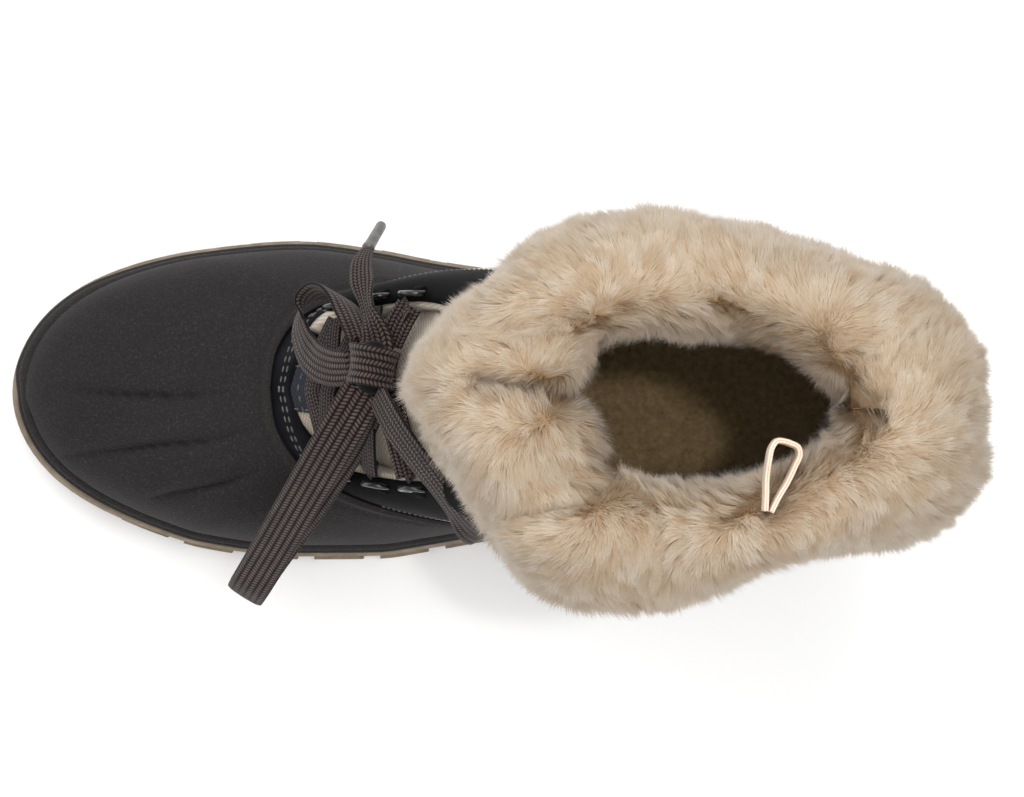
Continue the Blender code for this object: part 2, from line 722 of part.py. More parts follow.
for leftover in list(bpy.data.objects):
    bpy.data.objects.remove(leftover)
COLLECTION = bpy.data.collections.new("duck boot")
CUTTERS = bpy.data.collections.new("joined runs")
for group in (COLLECTION, CUTTERS):
    bpy.context.scene.collection.children.link(group)

make_outsole()
make_insole()
make_shell()
make_shaft()
make_tongue()
make_collar()
make_lace_loops()
make_lacing()
make_bow()
make_pull_tab()
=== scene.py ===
"""The looks of a left women's winter duck boot: rubber, leather, nylon, laces and deep fleece.

Lengths are in millimetres until a mesh is made. A point is (a, y, z): a runs from the toe tip back
to the heel, y is positive on the medial side, and z is up from the floor. A place round the boot is
a turn from -1 to 1: 0 is the toe, 1 and -1 are the heel, and a positive turn is on the lateral side.
"""

import functools
import math

import bmesh
import bpy
import numpy as np
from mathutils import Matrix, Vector


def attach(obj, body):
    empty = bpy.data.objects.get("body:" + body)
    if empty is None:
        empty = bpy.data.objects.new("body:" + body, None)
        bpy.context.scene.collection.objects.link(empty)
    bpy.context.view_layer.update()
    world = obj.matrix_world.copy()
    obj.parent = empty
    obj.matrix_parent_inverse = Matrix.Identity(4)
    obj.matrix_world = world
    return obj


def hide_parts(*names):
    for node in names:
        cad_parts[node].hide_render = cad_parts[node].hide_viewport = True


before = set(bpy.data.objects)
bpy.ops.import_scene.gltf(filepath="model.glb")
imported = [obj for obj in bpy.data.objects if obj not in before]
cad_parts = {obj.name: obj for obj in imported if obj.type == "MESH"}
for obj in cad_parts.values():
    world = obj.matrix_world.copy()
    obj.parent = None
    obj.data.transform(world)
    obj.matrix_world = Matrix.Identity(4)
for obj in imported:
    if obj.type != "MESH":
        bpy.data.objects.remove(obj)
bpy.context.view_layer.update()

MM = 0.001
ORIGIN = np.array([156.5, -7.44, 0.0])
SEED = 7

# Sizes shared with the frame
SOLE_LENGTH = 292.0
SHELL_WALL = 3.0
SHELL_SEAT = 0.45
SHELL_INSET = 3.4
SHAFT_WALL = 6.0
SHAFT_ROOM = 0.8
SHAFT_LAP = 8.0
INSOLE_THICK = 8.0
INSOLE_ROOM = 1.5
TONGUE_SHY = 1.2
LUG_DEPTH = 5.0
LUG_PROUD = 1.2
LUG_PITCH = 22.5
LUG_GAP = 6.0
FRONT_EDGE = 0.16
FRONT_FAN = 0.27
LACE_BRAID = 1.7  # the braid's thickness
LOOP_STAND = 58.0  # how steeply a lace loop stands off its stay, in degrees
LOOP_TALL = 4.4
FLEECE_PARTS = 5


def table(columns, *rows):
    """Rows of numbers under named columns, as {name: array}."""
    return dict(zip(columns.split(), np.array(rows, float).T))


# The sole from toe to heel: half widths, height of the shell's foot, and underside of the lugs
SOLE = table(
    "at medial lateral top tread",
    (0, 1.5, -1.5, 25.0, 11.0),
    (15, 31.8, 28.4, 24.0, 6.2),
    (30, 41.4, 38.6, 22.8, 3.0),
    (50, 48.4, 47.4, 20.8, 0.8),
    (64, 51.2, 51.8, 19.8, 0.0),
    (98, 54.2, 55.8, 18.6, 0.0),
    (125, 51.2, 55.6, 18.8, 0.0),
    (142, 47.9, 53.2, 19.6, 0.0),
    (165, 44.2, 49.2, 21.4, 2.6),
    (190, 40.6, 46.2, 24.0, 2.6),
    (212, 39.0, 45.2, 26.0, 0.0),
    (250, 38.0, 45.0, 28.0, 0.0),
    (270, 33.2, 40.2, 28.4, 0.0),
    (284, 21.8, 28.8, 28.6, 0.0),
    (292, -3.5, 3.5, 28.6, 1.5),
)

# The shell's rim round the throat and the heel. Rise and reach are the lengths of the handles at
# the wall's foot and at its rim, and slope is the wall's fall outwards at the rim, in degrees.
RIM = table(
    "turn at medial lateral height rise reach slope",
    (0.00, 91.0, 1.5, -1.5, 71.0, 26, 46, 11),
    (0.08, 92.2, 11.0, 8.5, 70.9, 26, 45, 12),
    (0.16, 96.5, 20.5, 18.5, 70.4, 25, 42, 15),
    (0.25, 105.5, 28.0, 28.0, 69.4, 23, 37, 24),
    (0.32, 117.0, 32.0, 34.0, 68.4, 21, 31, 36),
    (0.40, 133.0, 35.5, 39.5, 67.6, 22, 25, 54),
    (0.50, 156.0, 37.0, 43.5, 68.4, 18, 18, 74),
    (0.60, 181.0, 36.0, 43.0, 72.0, 17, 17, 82),
    (0.72, 216.0, 33.5, 40.5, 78.0, 17, 17, 86),
    (0.82, 246.0, 30.5, 37.5, 83.0, 18, 18, 88),
    (0.92, 277.0, 19.0, 26.0, 87.0, 18, 18, 88),
    (1.00, 289.0, -3.5, 3.5, 88.0, 18, 18, 88),
)

# The shaft's columns: two handles and the top edge, each as distance, half width and height
SHAFT = table(
    "turn low_at low_half low_up high_at high_half high_up top_at top_half top_up",
    (0.00, 108.0, 0.0, 78, 150.0, 0.0, 130, 160.0, 0.0, 190),
    (0.16, 118.0, 24.0, 84, 152.0, 37.0, 130, 163.0, 14.0, 190),
    (0.20, 119.5, 28.5, 86, 154.5, 39.0, 131, 164.5, 19.5, 190),
    (0.25, 123.0, 33.0, 88, 159.0, 41.0, 132, 169.5, 26.5, 190),
    (0.32, 131.0, 36.5, 92, 167.0, 41.5, 136, 179.5, 33.5, 190),
    (0.40, 144.0, 38.5, 95, 178.0, 42.0, 140, 192.0, 39.0, 190),
    (0.50, 164.0, 39.5, 101, 198.0, 41.5, 148, 210.0, 41.0, 190),
    (0.60, 186.0, 38.5, 108, 220.0, 40.5, 150, 229.0, 40.0, 190),
    (0.72, 219.0, 35.0, 114, 246.0, 36.5, 152, 251.0, 35.5, 190),
    (0.82, 246.0, 31.0, 120, 265.5, 29.0, 154, 269.0, 28.0, 190),
    (0.92, 273.0, 19.5, 124, 282.0, 16.0, 156, 284.0, 15.0, 190),
    (1.00, 282.0, 0.0, 126, 288.0, 0.0, 158, 289.0, 0.0, 190),
)

# The collar's section round the shaft's top edge: shares of the fleece's thickness outside and
# inside the shaft's face, and height
COLLAR = table(
    "share up",
    (0.00, 172.0),
    (0.38, 169.5),
    (0.72, 174.0),
    (0.94, 186.0),
    (1.00, 203.0),
    (0.87, 220.0),
    (0.47, 232.0),
    (-0.08, 237.0),
    (-0.58, 234.0),
    (-0.92, 223.5),
    (-1.00, 208.0),
    (-0.83, 194.0),
    (-0.54, 191.6),
    (0.00, 191.6),
)

# The fleece's thickness: outside on each side of the boot, and inside
FLEECE = table(
    "turn medial lateral inside",
    (0.00, 18.5, 18.5, 27.0),
    (0.16, 15.5, 14.5, 27.0),
    (0.20, 13.0, 12.0, 26.0),
    (0.25, 10.5, 13.0, 24.0),
    (0.32, 13.0, 19.0, 20.0),
    (0.45, 15.5, 20.5, 18.0),
    (0.52, 16.5, 19.0, 17.5),
    (0.60, 16.5, 15.5, 17.5),
    (0.68, 16.5, 11.5, 17.5),
    (0.77, 16.0, 11.0, 17.5),
    (0.86, 17.0, 15.0, 18.0),
    (0.93, 20.5, 20.5, 18.0),
    (1.00, 24.0, 24.0, 18.0),
)

# Lace loops and lacing
LOOP_LEVELS = (0.25, 0.43, 0.60)  # up the shaft's columns
LOOP_TURN = 0.197
LOOP_WIRE = 2.2
LOOP_LONG = 10.5
KNOT = np.array([127.0, 6.4, 128.0])
# The free laces: each bow loop runs from the knot round and back to it
ROUTES = {
    "bow_loop_side": (
        (124.0, -1.2, 129.4), (119.5, -9.0, 130.0), (114.0, -18.0, 126.0), (107.5, -28.5, 117.0),
        (100.5, -39.5, 105.5), (93.5, -50.5, 93.0), (87.5, -59.5, 82.0), (83.6, -65.3, 73.5),
        (82.6, -66.8, 66.5), (84.4, -64.0, 62.6), (88.6, -57.5, 63.6), (95.0, -49.0, 70.5),
        (103.0, -38.5, 81.5), (111.0, -28.0, 93.5), (118.5, -18.0, 105.0), (123.5, -9.5, 114.5),
        (126.5, -3.0, 121.0),
    ),
    "bow_loop_front": (
        (119.6, 6.3, 126.4), (113.0, 6.8, 118.5), (107.6, 9.5, 110.5), (103.4, 15.5, 103.5),
        (102.0, 22.0, 100.0), (103.6, 28.0, 100.5), (108.4, 31.8, 105.0), (114.0, 30.6, 111.5),
        (118.6, 25.6, 118.0), (121.4, 20.0, 123.2), (123.2, 15.6, 126.3),
    ),
    "lace_end_tip": (
        (128.0, 15.3, 128.4), (126.6, 21.0, 127.6), (124.6, 28.0, 124.0), (123.0, 35.0, 118.5),
        (122.8, 41.0, 112.5), (124.2, 45.0, 107.0),
    ),
    "lace_end_side": (
        (128.5, -2.4, 131.8), (130.9, -6.8, 136.5), (134.2, -12.5, 140.5), (138.8, -19.0, 143.0),
        (143.8, -25.7, 144.0), (149.0, -32.5, 143.0), (153.5, -38.8, 139.5), (157.5, -44.0, 133.0),
        (160.0, -46.3, 124.0), (161.4, -46.2, 114.0), (161.6, -46.2, 104.0),
    ),
}
AGLETS = {
    "aglet_tip": ((124.4, 45.5, 106.4), (129.0, 54.5, 96.5)),
    "aglet_side": ((161.6, -46.3, 103.3), (162.4, -46.8, 83.0)),
}

# The pull tab's ribbon
TAB_FOOT = np.array([246.0, -39.5, 241.2])
TAB_RUN = np.array([0.26, 0.97, 0.0])  # the way it points
TAB_SIDE = np.array([0.97, -0.26, 0.0])
TAB_WIDE = 14.0


def smooth(x, xs, ys):
    """A curve through the points that never overshoots between two of them."""
    h = np.diff(xs)
    d = np.diff(ys) / h
    m = np.zeros(len(xs))
    same = d[:-1] * d[1:] > 0
    w1, w2 = (2 * h[1:] + h[:-1])[same], (h[1:] + 2 * h[:-1])[same]
    m[1:-1][same] = (w1 + w2) / (w1 / d[:-1][same] + w2 / d[1:][same])
    m[0], m[-1] = d[0], d[-1]
    i = int(np.clip(np.searchsorted(xs, x) - 1, 0, len(h) - 1))
    t = (x - xs[i]) / h[i]
    basis = (2 * t**3 - 3 * t**2 + 1, t**3 - 2 * t**2 + t, 3 * t**2 - 2 * t**3, t**3 - t**2)
    return float(np.dot(basis, (ys[i], h[i] * m[i], ys[i + 1], h[i] * m[i + 1])))


def around(at):
    """A distance from the toe as an angle, in which the sole's round ends run straight."""
    return np.arccos(np.clip(1 - 2 * np.asarray(at, float) / SOLE_LENGTH, -1, 1))


def sole(name, at):
    """A column of the sole's table at a distance from the toe."""
    return smooth(float(around(at)), around(SOLE["at"]), SOLE[name])


def sole_edges(count=400):
    """The outline's two sides, as {side: (length, points evenly spaced from toe to heel)}."""
    at = SOLE_LENGTH * (1 - np.cos(np.linspace(0, math.pi, count))) / 2
    edges = {}
    for side, name in ((1, "medial"), (-1, "lateral")):
        line = np.stack([at, [side * sole(name, a) for a in at]], 1)
        steps = np.linalg.norm(np.diff(line, axis=0), axis=1)
        along = np.concatenate([[0], np.cumsum(steps)])
        even = np.linspace(0, along[-1], count)
        line = np.stack([np.interp(even, along, line[:, k]) for k in (0, 1)], 1)
        edges[side] = along[-1], line
    return edges


EDGES = sole_edges()


def wrap(turn):
    """The same place as a turn from -1 to 1."""
    return (turn + 1) % 2 - 1


def side_of(turn):
    """-1 on the lateral side, and 1 on the medial side."""
    return -1 if wrap(turn) >= 0 else 1


def unit(v):
    return v / np.linalg.norm(v)


def edge(turn, inset=0.0):
    """A point of the sole's outline, moved inwards, and the outward direction there."""

    def place(t):
        line = EDGES[side_of(t)][1]
        at = abs(wrap(t)) * (len(line) - 1)
        low = min(int(at), len(line) - 2)
        return line[low] + (at - low) * (line[low + 1] - line[low])

    along = unit(place(turn + 0.012) - place(turn - 0.012))
    out = np.array([along[1], -along[0]])
    return place(turn) - inset * out, out


def bezier(p0, p1, p2, p3, t):
    s = 1 - t
    return s**3 * p0 + 3 * s * s * t * p1 + 3 * s * t * t * p2 + t**3 * p3


def rim(turn):
    """A point of the shell's rim."""
    side, share = side_of(turn), abs(wrap(turn))
    half = smooth(share, RIM["turn"], RIM["medial" if side > 0 else "lateral"])
    at, height = (smooth(share, RIM["turn"], RIM[name]) for name in ("at", "height"))
    return np.array([at, side * half, height])


@functools.cache
def shell_column(turn):
    """The four points that a column of the shell is drawn from."""
    share = abs(wrap(turn))
    rise, reach, slope = (smooth(share, RIM["turn"], RIM[k]) for k in ("rise", "reach", "slope"))
    (a, y), out = edge(turn, SHELL_INSET)
    foot = np.array([a, y, sole("top", a) + SHELL_SEAT])
    top = rim(turn)
    away = unit((foot - top)[:2] + 8 * out)
    fall = math.radians(slope)
    up = foot + rise * np.array([*(0.07 * out), 1.0])
    down = top + reach * np.array([*(math.cos(fall) * away), -math.sin(fall)])
    return foot, up, down, top


def shell(turn, t):
    """The shell's outer face: t runs from its foot, 0, to its rim, 1."""
    return bezier(*shell_column(turn), t)


def drift(at, height):
    """How far the shaft's middle stands off the sole's axis: to the lateral side, behind and up."""
    heel = np.interp(at, (130, 230), (0, 2.5))
    lean = np.interp(at, (150, 185), (0, 6.5)) * (height - 70) / 120
    return -heel - lean


@functools.cache
def shaft_point(turn, name):
    """One of the points that a column of the shaft is drawn from: low, high or top."""
    share = abs(wrap(turn))
    at, half, up = (smooth(share, SHAFT["turn"], SHAFT[f"{name}_{k}"]) for k in ("at", "half", "up"))
    return np.array([at, side_of(turn) * half + drift(at, up), up])


@functools.cache
def shaft_column(turn):
    """The four points that a column of the shaft is drawn from."""
    foot = sunk(shell, turn, 1.0, SHELL_WALL + SHAFT_ROOM)
    return foot, *(shaft_point(turn, name) for name in ("low", "high", "top"))


def shaft(turn, t):
    """The shaft's outer face: t runs from inside the shell's rim, 0, to the top edge, 1."""
    return bezier(*shaft_column(turn), t)


def normal(surface, turn, t, step=0.01):
    """The outward direction of a surface."""
    t = min(max(t, step), 1 - step)
    across = surface(turn + step, t) - surface(turn - step, t)
    up = surface(turn, t + step) - surface(turn, t - step)
    return unit(np.cross(across, up))


def sunk(surface, turn, t, depth):
    """A point at a depth below a surface."""
    return surface(turn, t) - depth * normal(surface, turn, t)


def face(column, turns, ts):
    """Points of a surface: a row for each t, and a place in the row for each turn."""
    handles = np.array([column(round(float(turn), 5)) for turn in turns])
    ts = np.asarray(ts, float)
    ts = ts[:, None] if ts.ndim == 1 else ts
    weights = ((1 - ts) ** 3, 3 * (1 - ts) ** 2 * ts, 3 * (1 - ts) * ts**2, ts**3)
    return sum(w[..., None] * handles[None, :, k] for k, w in enumerate(weights))


def units(vectors):
    return vectors / np.maximum(np.linalg.norm(vectors, axis=-1, keepdims=True), 1e-9)


def outward(column, turns, ts):
    """The outward direction at each of those points."""
    turns, ts = np.asarray(turns, float), np.asarray(ts, float)
    across = face(column, turns + 0.006, ts) - face(column, turns - 0.006, ts)
    inner = np.clip(ts, 0.01, 0.99)
    return units(np.cross(across, face(column, turns, inner + 0.01) - face(column, turns, inner - 0.01)))


def tongue_face(turns, ts):
    """The tongue's face, and the outward direction there."""
    under = SHAFT_WALL + 0.9
    bulge = np.maximum(0.0, 1 - (np.asarray(turns) / FRONT_EDGE) ** 2)
    depth = under - bulge * (under - TONGUE_SHY)
    up = outward(shaft_column, turns, ts)
    return face(shaft_column, turns, ts) - depth[None, :, None] * up, up


def lifted(turn, t, lift):
    """A point above the shaft's face or its course across the gap, and the direction up there."""
    up = normal(shaft, turn, t)
    return shaft(turn, t) + lift * up, up


def smooth_path(points, step):
    """A smooth curve through points, read about every step."""
    points = np.array(points, float)
    along = np.concatenate([[0], np.cumsum(np.linalg.norm(np.diff(points, axis=0), axis=1))])
    slopes = np.gradient(points, along, axis=0)
    places = np.linspace(0, along[-1], max(3, round(along[-1] / step) + 1))
    found = []
    for place in places:
        i = int(np.clip(np.searchsorted(along, place) - 1, 0, len(points) - 2))
        h = along[i + 1] - along[i]
        handles = points[i] + h / 3 * slopes[i], points[i + 1] - h / 3 * slopes[i + 1]
        found.append(bezier(points[i], *handles, points[i + 1], (place - along[i]) / h))
    return np.array(found)


def once_round(shares):
    """Turns once round the boot, from the toe along the lateral side."""
    return list(shares) + [-s for s in list(shares)[-2:0:-1]]


def ramp(x, low, high):
    """0 below low, 1 above high, and a smooth blend between."""
    t = np.clip((np.asarray(x, float) - low) / (high - low), 0, 1)
    return t * t * (3 - 2 * t)


def hump(x, middle, width):
    """1 at the middle, falling off smoothly on both sides."""
    return np.exp(-(((np.asarray(x, float) - middle) / width) ** 2))


# ---------------------------------------------------------------- meshes

def quads(rows, columns, closed=False, start=0):
    """The quads of a grid, facing the way that turn crossed with t points."""
    index = np.arange(rows * columns).reshape(rows, columns)
    if closed:
        index = np.concatenate([index, index[:, :1]], 1)
    corners = index[:-1, :-1], index[:-1, 1:], index[1:, 1:], index[1:, :-1]
    return np.stack(corners, -1).reshape(-1, 4) + start


def piece(name, points, faces, finish, uv=None, marks=None, sharp=None, flip=True):
    """An object from points in the boot's millimetres. uv and marks hold a value for each point.
    A closed body that comes out inside out is turned."""
    points = np.asarray(points, float).reshape(-1, 3)
    mesh = bpy.data.meshes.new(name)
    mesh.from_pydata(MM * (points - ORIGIN), [], [list(map(int, f)) for f in faces])
    if uv is not None:
        corners = np.empty(len(mesh.loops), np.int32)
        mesh.loops.foreach_get("vertex_index", corners)
        layer = mesh.uv_layers.new(name="UVMap")
        layer.data.foreach_set("uv", np.asarray(uv, np.float32).reshape(-1, 2)[corners].ravel())
    for key, values in (marks or {}).items():
        values = np.asarray(values, np.float32)
        kind = "FLOAT_VECTOR" if values.size == 3 * len(points) else "FLOAT"
        layer = mesh.attributes.new(key, kind, "POINT")
        layer.data.foreach_set("vector" if kind == "FLOAT_VECTOR" else "value", values.ravel())
    if flip:
        mesh.calc_loop_triangles()
        corners = np.empty(3 * len(mesh.loop_triangles), np.int32)
        mesh.loop_triangles.foreach_get("vertices", corners)
        a, b, c = (points - points.mean(0))[corners.reshape(-1, 3)].transpose(1, 0, 2)
        if np.einsum("ij,ij->i", a, np.cross(b, c)).sum() < 0:
            mesh.flip_normals()
    mesh.shade_smooth()
    if sharp:
        mesh.set_sharp_from_angle(angle=math.radians(sharp))
    mesh.materials.append(finish)
    made = bpy.data.objects.new(name, mesh)
    bpy.context.scene.collection.objects.link(made)
    return made


def measured(rows):
    """Distances in mm from the grid's first row, along each column."""
    steps = np.linalg.norm(np.diff(rows, axis=0), axis=-1)
    return np.concatenate([np.zeros((1, rows.shape[1])), np.cumsum(steps, 0)])


def plate(name, front, back, finish, closed=False, uv=None, marks=None, sharp=None):
    """A closed body between a front grid and a back grid. Round a closed ring the back may have
    fewer rows."""
    rows, columns = front.shape[:2]
    count = rows * columns
    faces = [quads(rows, columns, closed), quads(len(back), columns, closed, count)[:, ::-1]]
    index = np.arange(count).reshape(rows, columns)
    behind = np.arange(len(back) * columns).reshape(-1, columns) + count
    rims = [(index[0], behind[0], True), (index[-1], behind[-1], False)]
    if not closed:
        rims += [(index[:, 0], behind[:, 0], False), (index[:, -1], behind[:, -1], True)]
    for line, other, flip in rims:
        if closed:
            line, other = np.append(line, line[0]), np.append(other, other[0])
        walls = np.stack([line[1:], line[:-1], other[:-1], other[1:]], -1)
        faces.append(walls if flip else walls[:, ::-1])
    points = np.concatenate([front.reshape(-1, 3), back.reshape(-1, 3)])
    if uv is not None:
        uv = np.concatenate([uv.reshape(-1, 2)] * 2)
    if marks:
        behind = np.zeros((back.shape[0] * columns, 1))
        marks = {k: np.concatenate([np.reshape(v, (count, -1)), behind]) for k, v in marks.items()}
    return piece(name, points, np.concatenate(faces), finish, uv, marks, sharp)


def edge_rows(length, edges, pitch):
    """Places along a strip: close together over its two rounded edges and even between."""
    near = np.array(edges)
    middle = np.linspace(near[-1], length - near[-1], max(2, round((length - 2 * near[-1]) / pitch)))
    return np.concatenate([near, middle[1:-1], (length - near)[::-1]]) / length


def shaft_face(turns, ts):
    """The shaft's face, and the outward direction there."""
    return face(shaft_column, turns, ts), outward(shaft_column, turns, ts)


def panel(name, finish, span, low, high, thick, surface=shaft_face, closed=False, pitch=2.2,
          base=0.0, puff=0.0):
    """A thin overlay on a surface between two curves of t, with rounded edges. span is its turns."""
    edges = (0, 0.12 * thick, 0.45 * thick, 1.1 * thick)
    first, last = span
    count = max(8, int(abs(last - first) * 330 / pitch))
    turns = np.linspace(first, last, count + (1 if not closed else 0), endpoint=not closed)
    if not closed:
        centre = (low(first) + high(last)) / 2
        line = surface(np.linspace(first, last, 12), [centre])[0][0]
        wide = np.linalg.norm(np.diff(line, axis=0), axis=1).sum()
        turns = first + (last - first) * edge_rows(max(wide, 4 * edges[-1]), edges, pitch)
    lows, highs = np.array([low(u) for u in turns]), np.array([high(u) for u in turns])
    length = measured(surface(turns, lows + np.linspace(0, 1, 12)[:, None] * (highs - lows))[0])[-1]
    shares = edge_rows(max(float(np.median(length)), 4 * edges[-1]), edges, pitch)[:, None]
    ts = lows + shares * (highs - lows)
    flat, up = surface(turns, ts)
    down = measured(flat)
    side = np.minimum(down, down[-1] - down)
    across = measured(flat.transpose(1, 0, 2)).T
    if not closed:
        side = np.minimum(side, np.minimum(across, across[:, -1:] - across))
    rise = thick * np.sqrt(np.clip(1 - (1 - np.clip(side / (1.1 * thick), 0, 1)) ** 2, 0, 1))
    rise = rise + puff * ramp(side, 0, 9)
    front = flat + (base + rise)[..., None] * up
    back = flat + (base - 0.35) * up
    uv = np.stack([across, down], -1) / 100
    return plate(name, front, back, finish, closed, uv)


def tube_mesh(path, radius, around_count=10, closed=False):
    """Points and faces of a round tube; radius may be a number for each point."""
    path = np.asarray(path, float)
    count = len(path)
    radius = np.broadcast_to(radius, count)
    ahead = np.roll(path, -1, 0) if closed else np.concatenate([path[1:], path[-1:]])
    behind = np.roll(path, 1, 0) if closed else np.concatenate([path[:1], path[:-1]])
    along = units(ahead - behind)
    side = np.cross(along[0], (0.31, 0.17, 0.93))
    rows = []
    for place, way, r in zip(path, along, radius):
        side = unit(side - way * np.dot(side, way))
        other = np.cross(way, side)
        angles = np.linspace(0, 2 * math.pi, around_count, endpoint=False)
        rows.append(place + r * (np.cos(angles)[:, None] * side + np.sin(angles)[:, None] * other))
    rows = np.array(rows)
    faces = [list(f) for f in quads(count, around_count, True)]
    if closed:
        last = (count - 1) * around_count
        for k in range(around_count):
            n = (k + 1) % around_count
            faces.append([last + k, last + n, n, k])
    else:
        faces.append(list(range(around_count))[::-1])
        faces.append([(count - 1) * around_count + k for k in range(around_count)])
    return rows.reshape(-1, 3), faces


def joined(parts):
    """Several (points, faces) as one."""
    points, faces, start = [], [], 0
    for these, those in parts:
        points.append(these)
        faces += [[start + v for v in f] for f in those]
        start += len(these)
    return np.concatenate(points), faces


def ribbon(name, path, sides, widths, thick, finish, slack=0.0, arch=0.0):
    """A flat braid along a path: sides point across it, widths may change, and both ends are closed.
    slack cups it a little one way and the other, and arch bows it outwards across its width."""
    count = len(path)
    spots = np.linspace(0, 1, count)

    def spread(values):
        values = np.atleast_2d(np.asarray(values, float))
        at = np.linspace(0, 1, len(values))
        return np.stack([np.interp(spots, at, column) for column in values.T], -1)

    along = units(np.gradient(path, axis=0))
    side = spread(sides)
    side = units(side - along * np.sum(side * along, -1, keepdims=True))
    up = np.cross(along, side)
    width = spread(np.reshape(widths, (-1, 1)))[:, 0]
    around_count = 20
    angles = np.linspace(0, 2 * math.pi, around_count, endpoint=False)
    x = np.sign(np.cos(angles)) * np.abs(np.cos(angles)) ** 0.55
    y = np.sign(np.sin(angles)) * np.abs(np.sin(angles)) ** 0.75
    cup = slack * np.sin(spots * 9.0) - arch
    rows = (
        path[:, None]
        + x[None, :, None] * (width / 2)[:, None, None] * side[:, None]
        + (y * thick / 2 + cup[:, None] * (x**2 - 0.5))[..., None] * up[:, None]
    )
    length = np.concatenate([[0], np.cumsum(np.linalg.norm(np.diff(path, axis=0), axis=1))])
    u = np.broadcast_to(x * 6.5, (count, around_count))
    uv = np.stack([u, np.broadcast_to(length[:, None], u.shape)], -1) / 100
    faces = [list(f) for f in quads(count, around_count, True)]
    faces = [f[::-1] for f in faces]
    faces.append(list(range(around_count)))
    faces.append([(count - 1) * around_count + k for k in range(around_count)][::-1])
    return piece(name, rows, faces, finish, uv)


# ---------------------------------------------------------------- materials

NOISE, RAMP, RANGE = "ShaderNodeTexNoise", "ShaderNodeValToRGB", "ShaderNodeMapRange"
MATH, VECTOR_MATH, MIX = "ShaderNodeMath", "ShaderNodeVectorMath", "ShaderNodeMix"
BUMP, MARK, PLACE = "ShaderNodeBump", "ShaderNodeAttribute", "ShaderNodeTexCoord"


def linear(code):
    """An sRGB hex colour as linear RGBA."""
    parts = [int(code[i : i + 2], 16) / 255 for i in (1, 3, 5)]
    return (*(c / 12.92 if c <= 0.04045 else ((c + 0.055) / 1.055) ** 2.4 for c in parts), 1.0)


def feed(tree, node, inputs):
    """Fills a node's inputs, named or in order: a value, a socket, or a node for its first output."""
    for name, value in inputs.items() if isinstance(inputs, dict) else enumerate(inputs):
        if isinstance(value, bpy.types.Node):
            value = next(out for out in value.outputs if out.enabled)
        if isinstance(value, bpy.types.NodeSocket):
            tree.links.new(value, node.inputs[name])
        else:
            node.inputs[name].default_value = value


def add(tree, kind, inputs=(), **settings):
    """Adds a node with its settings and links. A ramp's stops are places and sRGB hex colours."""
    made = tree.nodes.new(kind)
    stops = settings.pop("stops", ())
    for name, value in settings.items():
        setattr(made, name, value)
    if stops:
        band = made.color_ramp.elements
        while len(band) < len(stops):
            band.new(0.5)
        for element, (place, code) in zip(band, stops):
            element.position = place
            element.color = linear(code)
    feed(tree, made, inputs)
    return made


def every(size):
    """The scale of a texture on coordinates in metres, for a pattern that repeats every so many mm."""
    return 1000.0 / size


def finish(name, roughness, **uniform):
    """A new material: its tree, its shader, and coordinates that stay with the piece, in metres."""
    made = bpy.data.materials.new(name)
    made.use_nodes = True
    tree = made.node_tree
    shader = tree.nodes["Principled BSDF"]
    shader.inputs["Roughness"].default_value = roughness
    for key, value in uniform.items():
        shader.inputs[key.replace("_", " ")].default_value = value
    return made, tree, shader, add(tree, PLACE).outputs["Object"]


def moulded_rubber():
    """Matte black rubber: dusty bloom, fine pits from the mould, paler on its beads where rubbed and as
    painted highlight, darker in its creases and grooves as painted shade.
    """
    made, tree, shader, place = finish("moulded rubber", 0.74, Specular_IOR_Level=0.22)
    bloom = add(tree, NOISE, {"Vector": place, "Scale": every(28), "Detail": 6.0, "Roughness": 0.62})
    specks = add(tree, NOISE, {"Vector": place, "Scale": every(0.8), "Detail": 2.0, "Roughness": 0.7})
    base = add(tree, RAMP, (bloom,), stops=((0.32, "#1B1818"), (0.5, "#211E1E"), (0.72, "#282525")))
    dust = add(tree, RAMP, (specks,), stops=((0.4, "#110F0F"), (0.56, "#211E1E"), (0.74, "#433E3D")))
    worn = add(tree, MIX, {"Factor": 0.5, "A": base, "B": dust}, data_type="RGBA")
    # Paler bead crests are partly wear and partly painted highlight; the dark in creases and grooves is
    # painted shade
    for mark, code in (("rub_and_highlight", "#3F3B38"), ("fold", "#0B0A0A")):
        share = add(tree, MARK, attribute_name=mark).outputs["Fac"]
        worn = add(tree, MIX, {"Factor": share, "A": worn, "B": linear(code)}, data_type="RGBA")
    rough = add(tree, RANGE, {"Value": bloom, "To Min": 0.66, "To Max": 0.82})
    pits = add(tree, NOISE, {"Vector": place, "Scale": every(0.7), "Detail": 3.0})
    bump = add(tree, BUMP, {"Height": pits, "Distance": 0.0004, "Strength": 0.8})
    feed(tree, shader, {"Base Color": worn, "Roughness": rough, "Normal": bump})
    return made


def mottled(name, roughness, stops, cloud, relief, grain=None, **uniform):
    """A finish that drifts between colours in clouds. Its relief follows its grain, or else the clouds.
    cloud and grain are a size in mm, a detail and a roughness; relief is a depth in m and a strength."""
    made, tree, shader, place = finish(name, roughness, **uniform)
    drawn = []
    for size, detail, rough in filter(None, (cloud, grain)):
        scale = every(size)
        drawn.append(
            add(tree, NOISE, {"Vector": place, "Scale": scale, "Detail": detail, "Roughness": rough}))
    base = add(tree, RAMP, (drawn[0],), stops=stops)
    bump = add(tree, BUMP, {"Height": drawn[-1], "Distance": relief[0], "Strength": relief[1]})
    feed(tree, shader, {"Base Color": base, "Normal": bump})
    return made


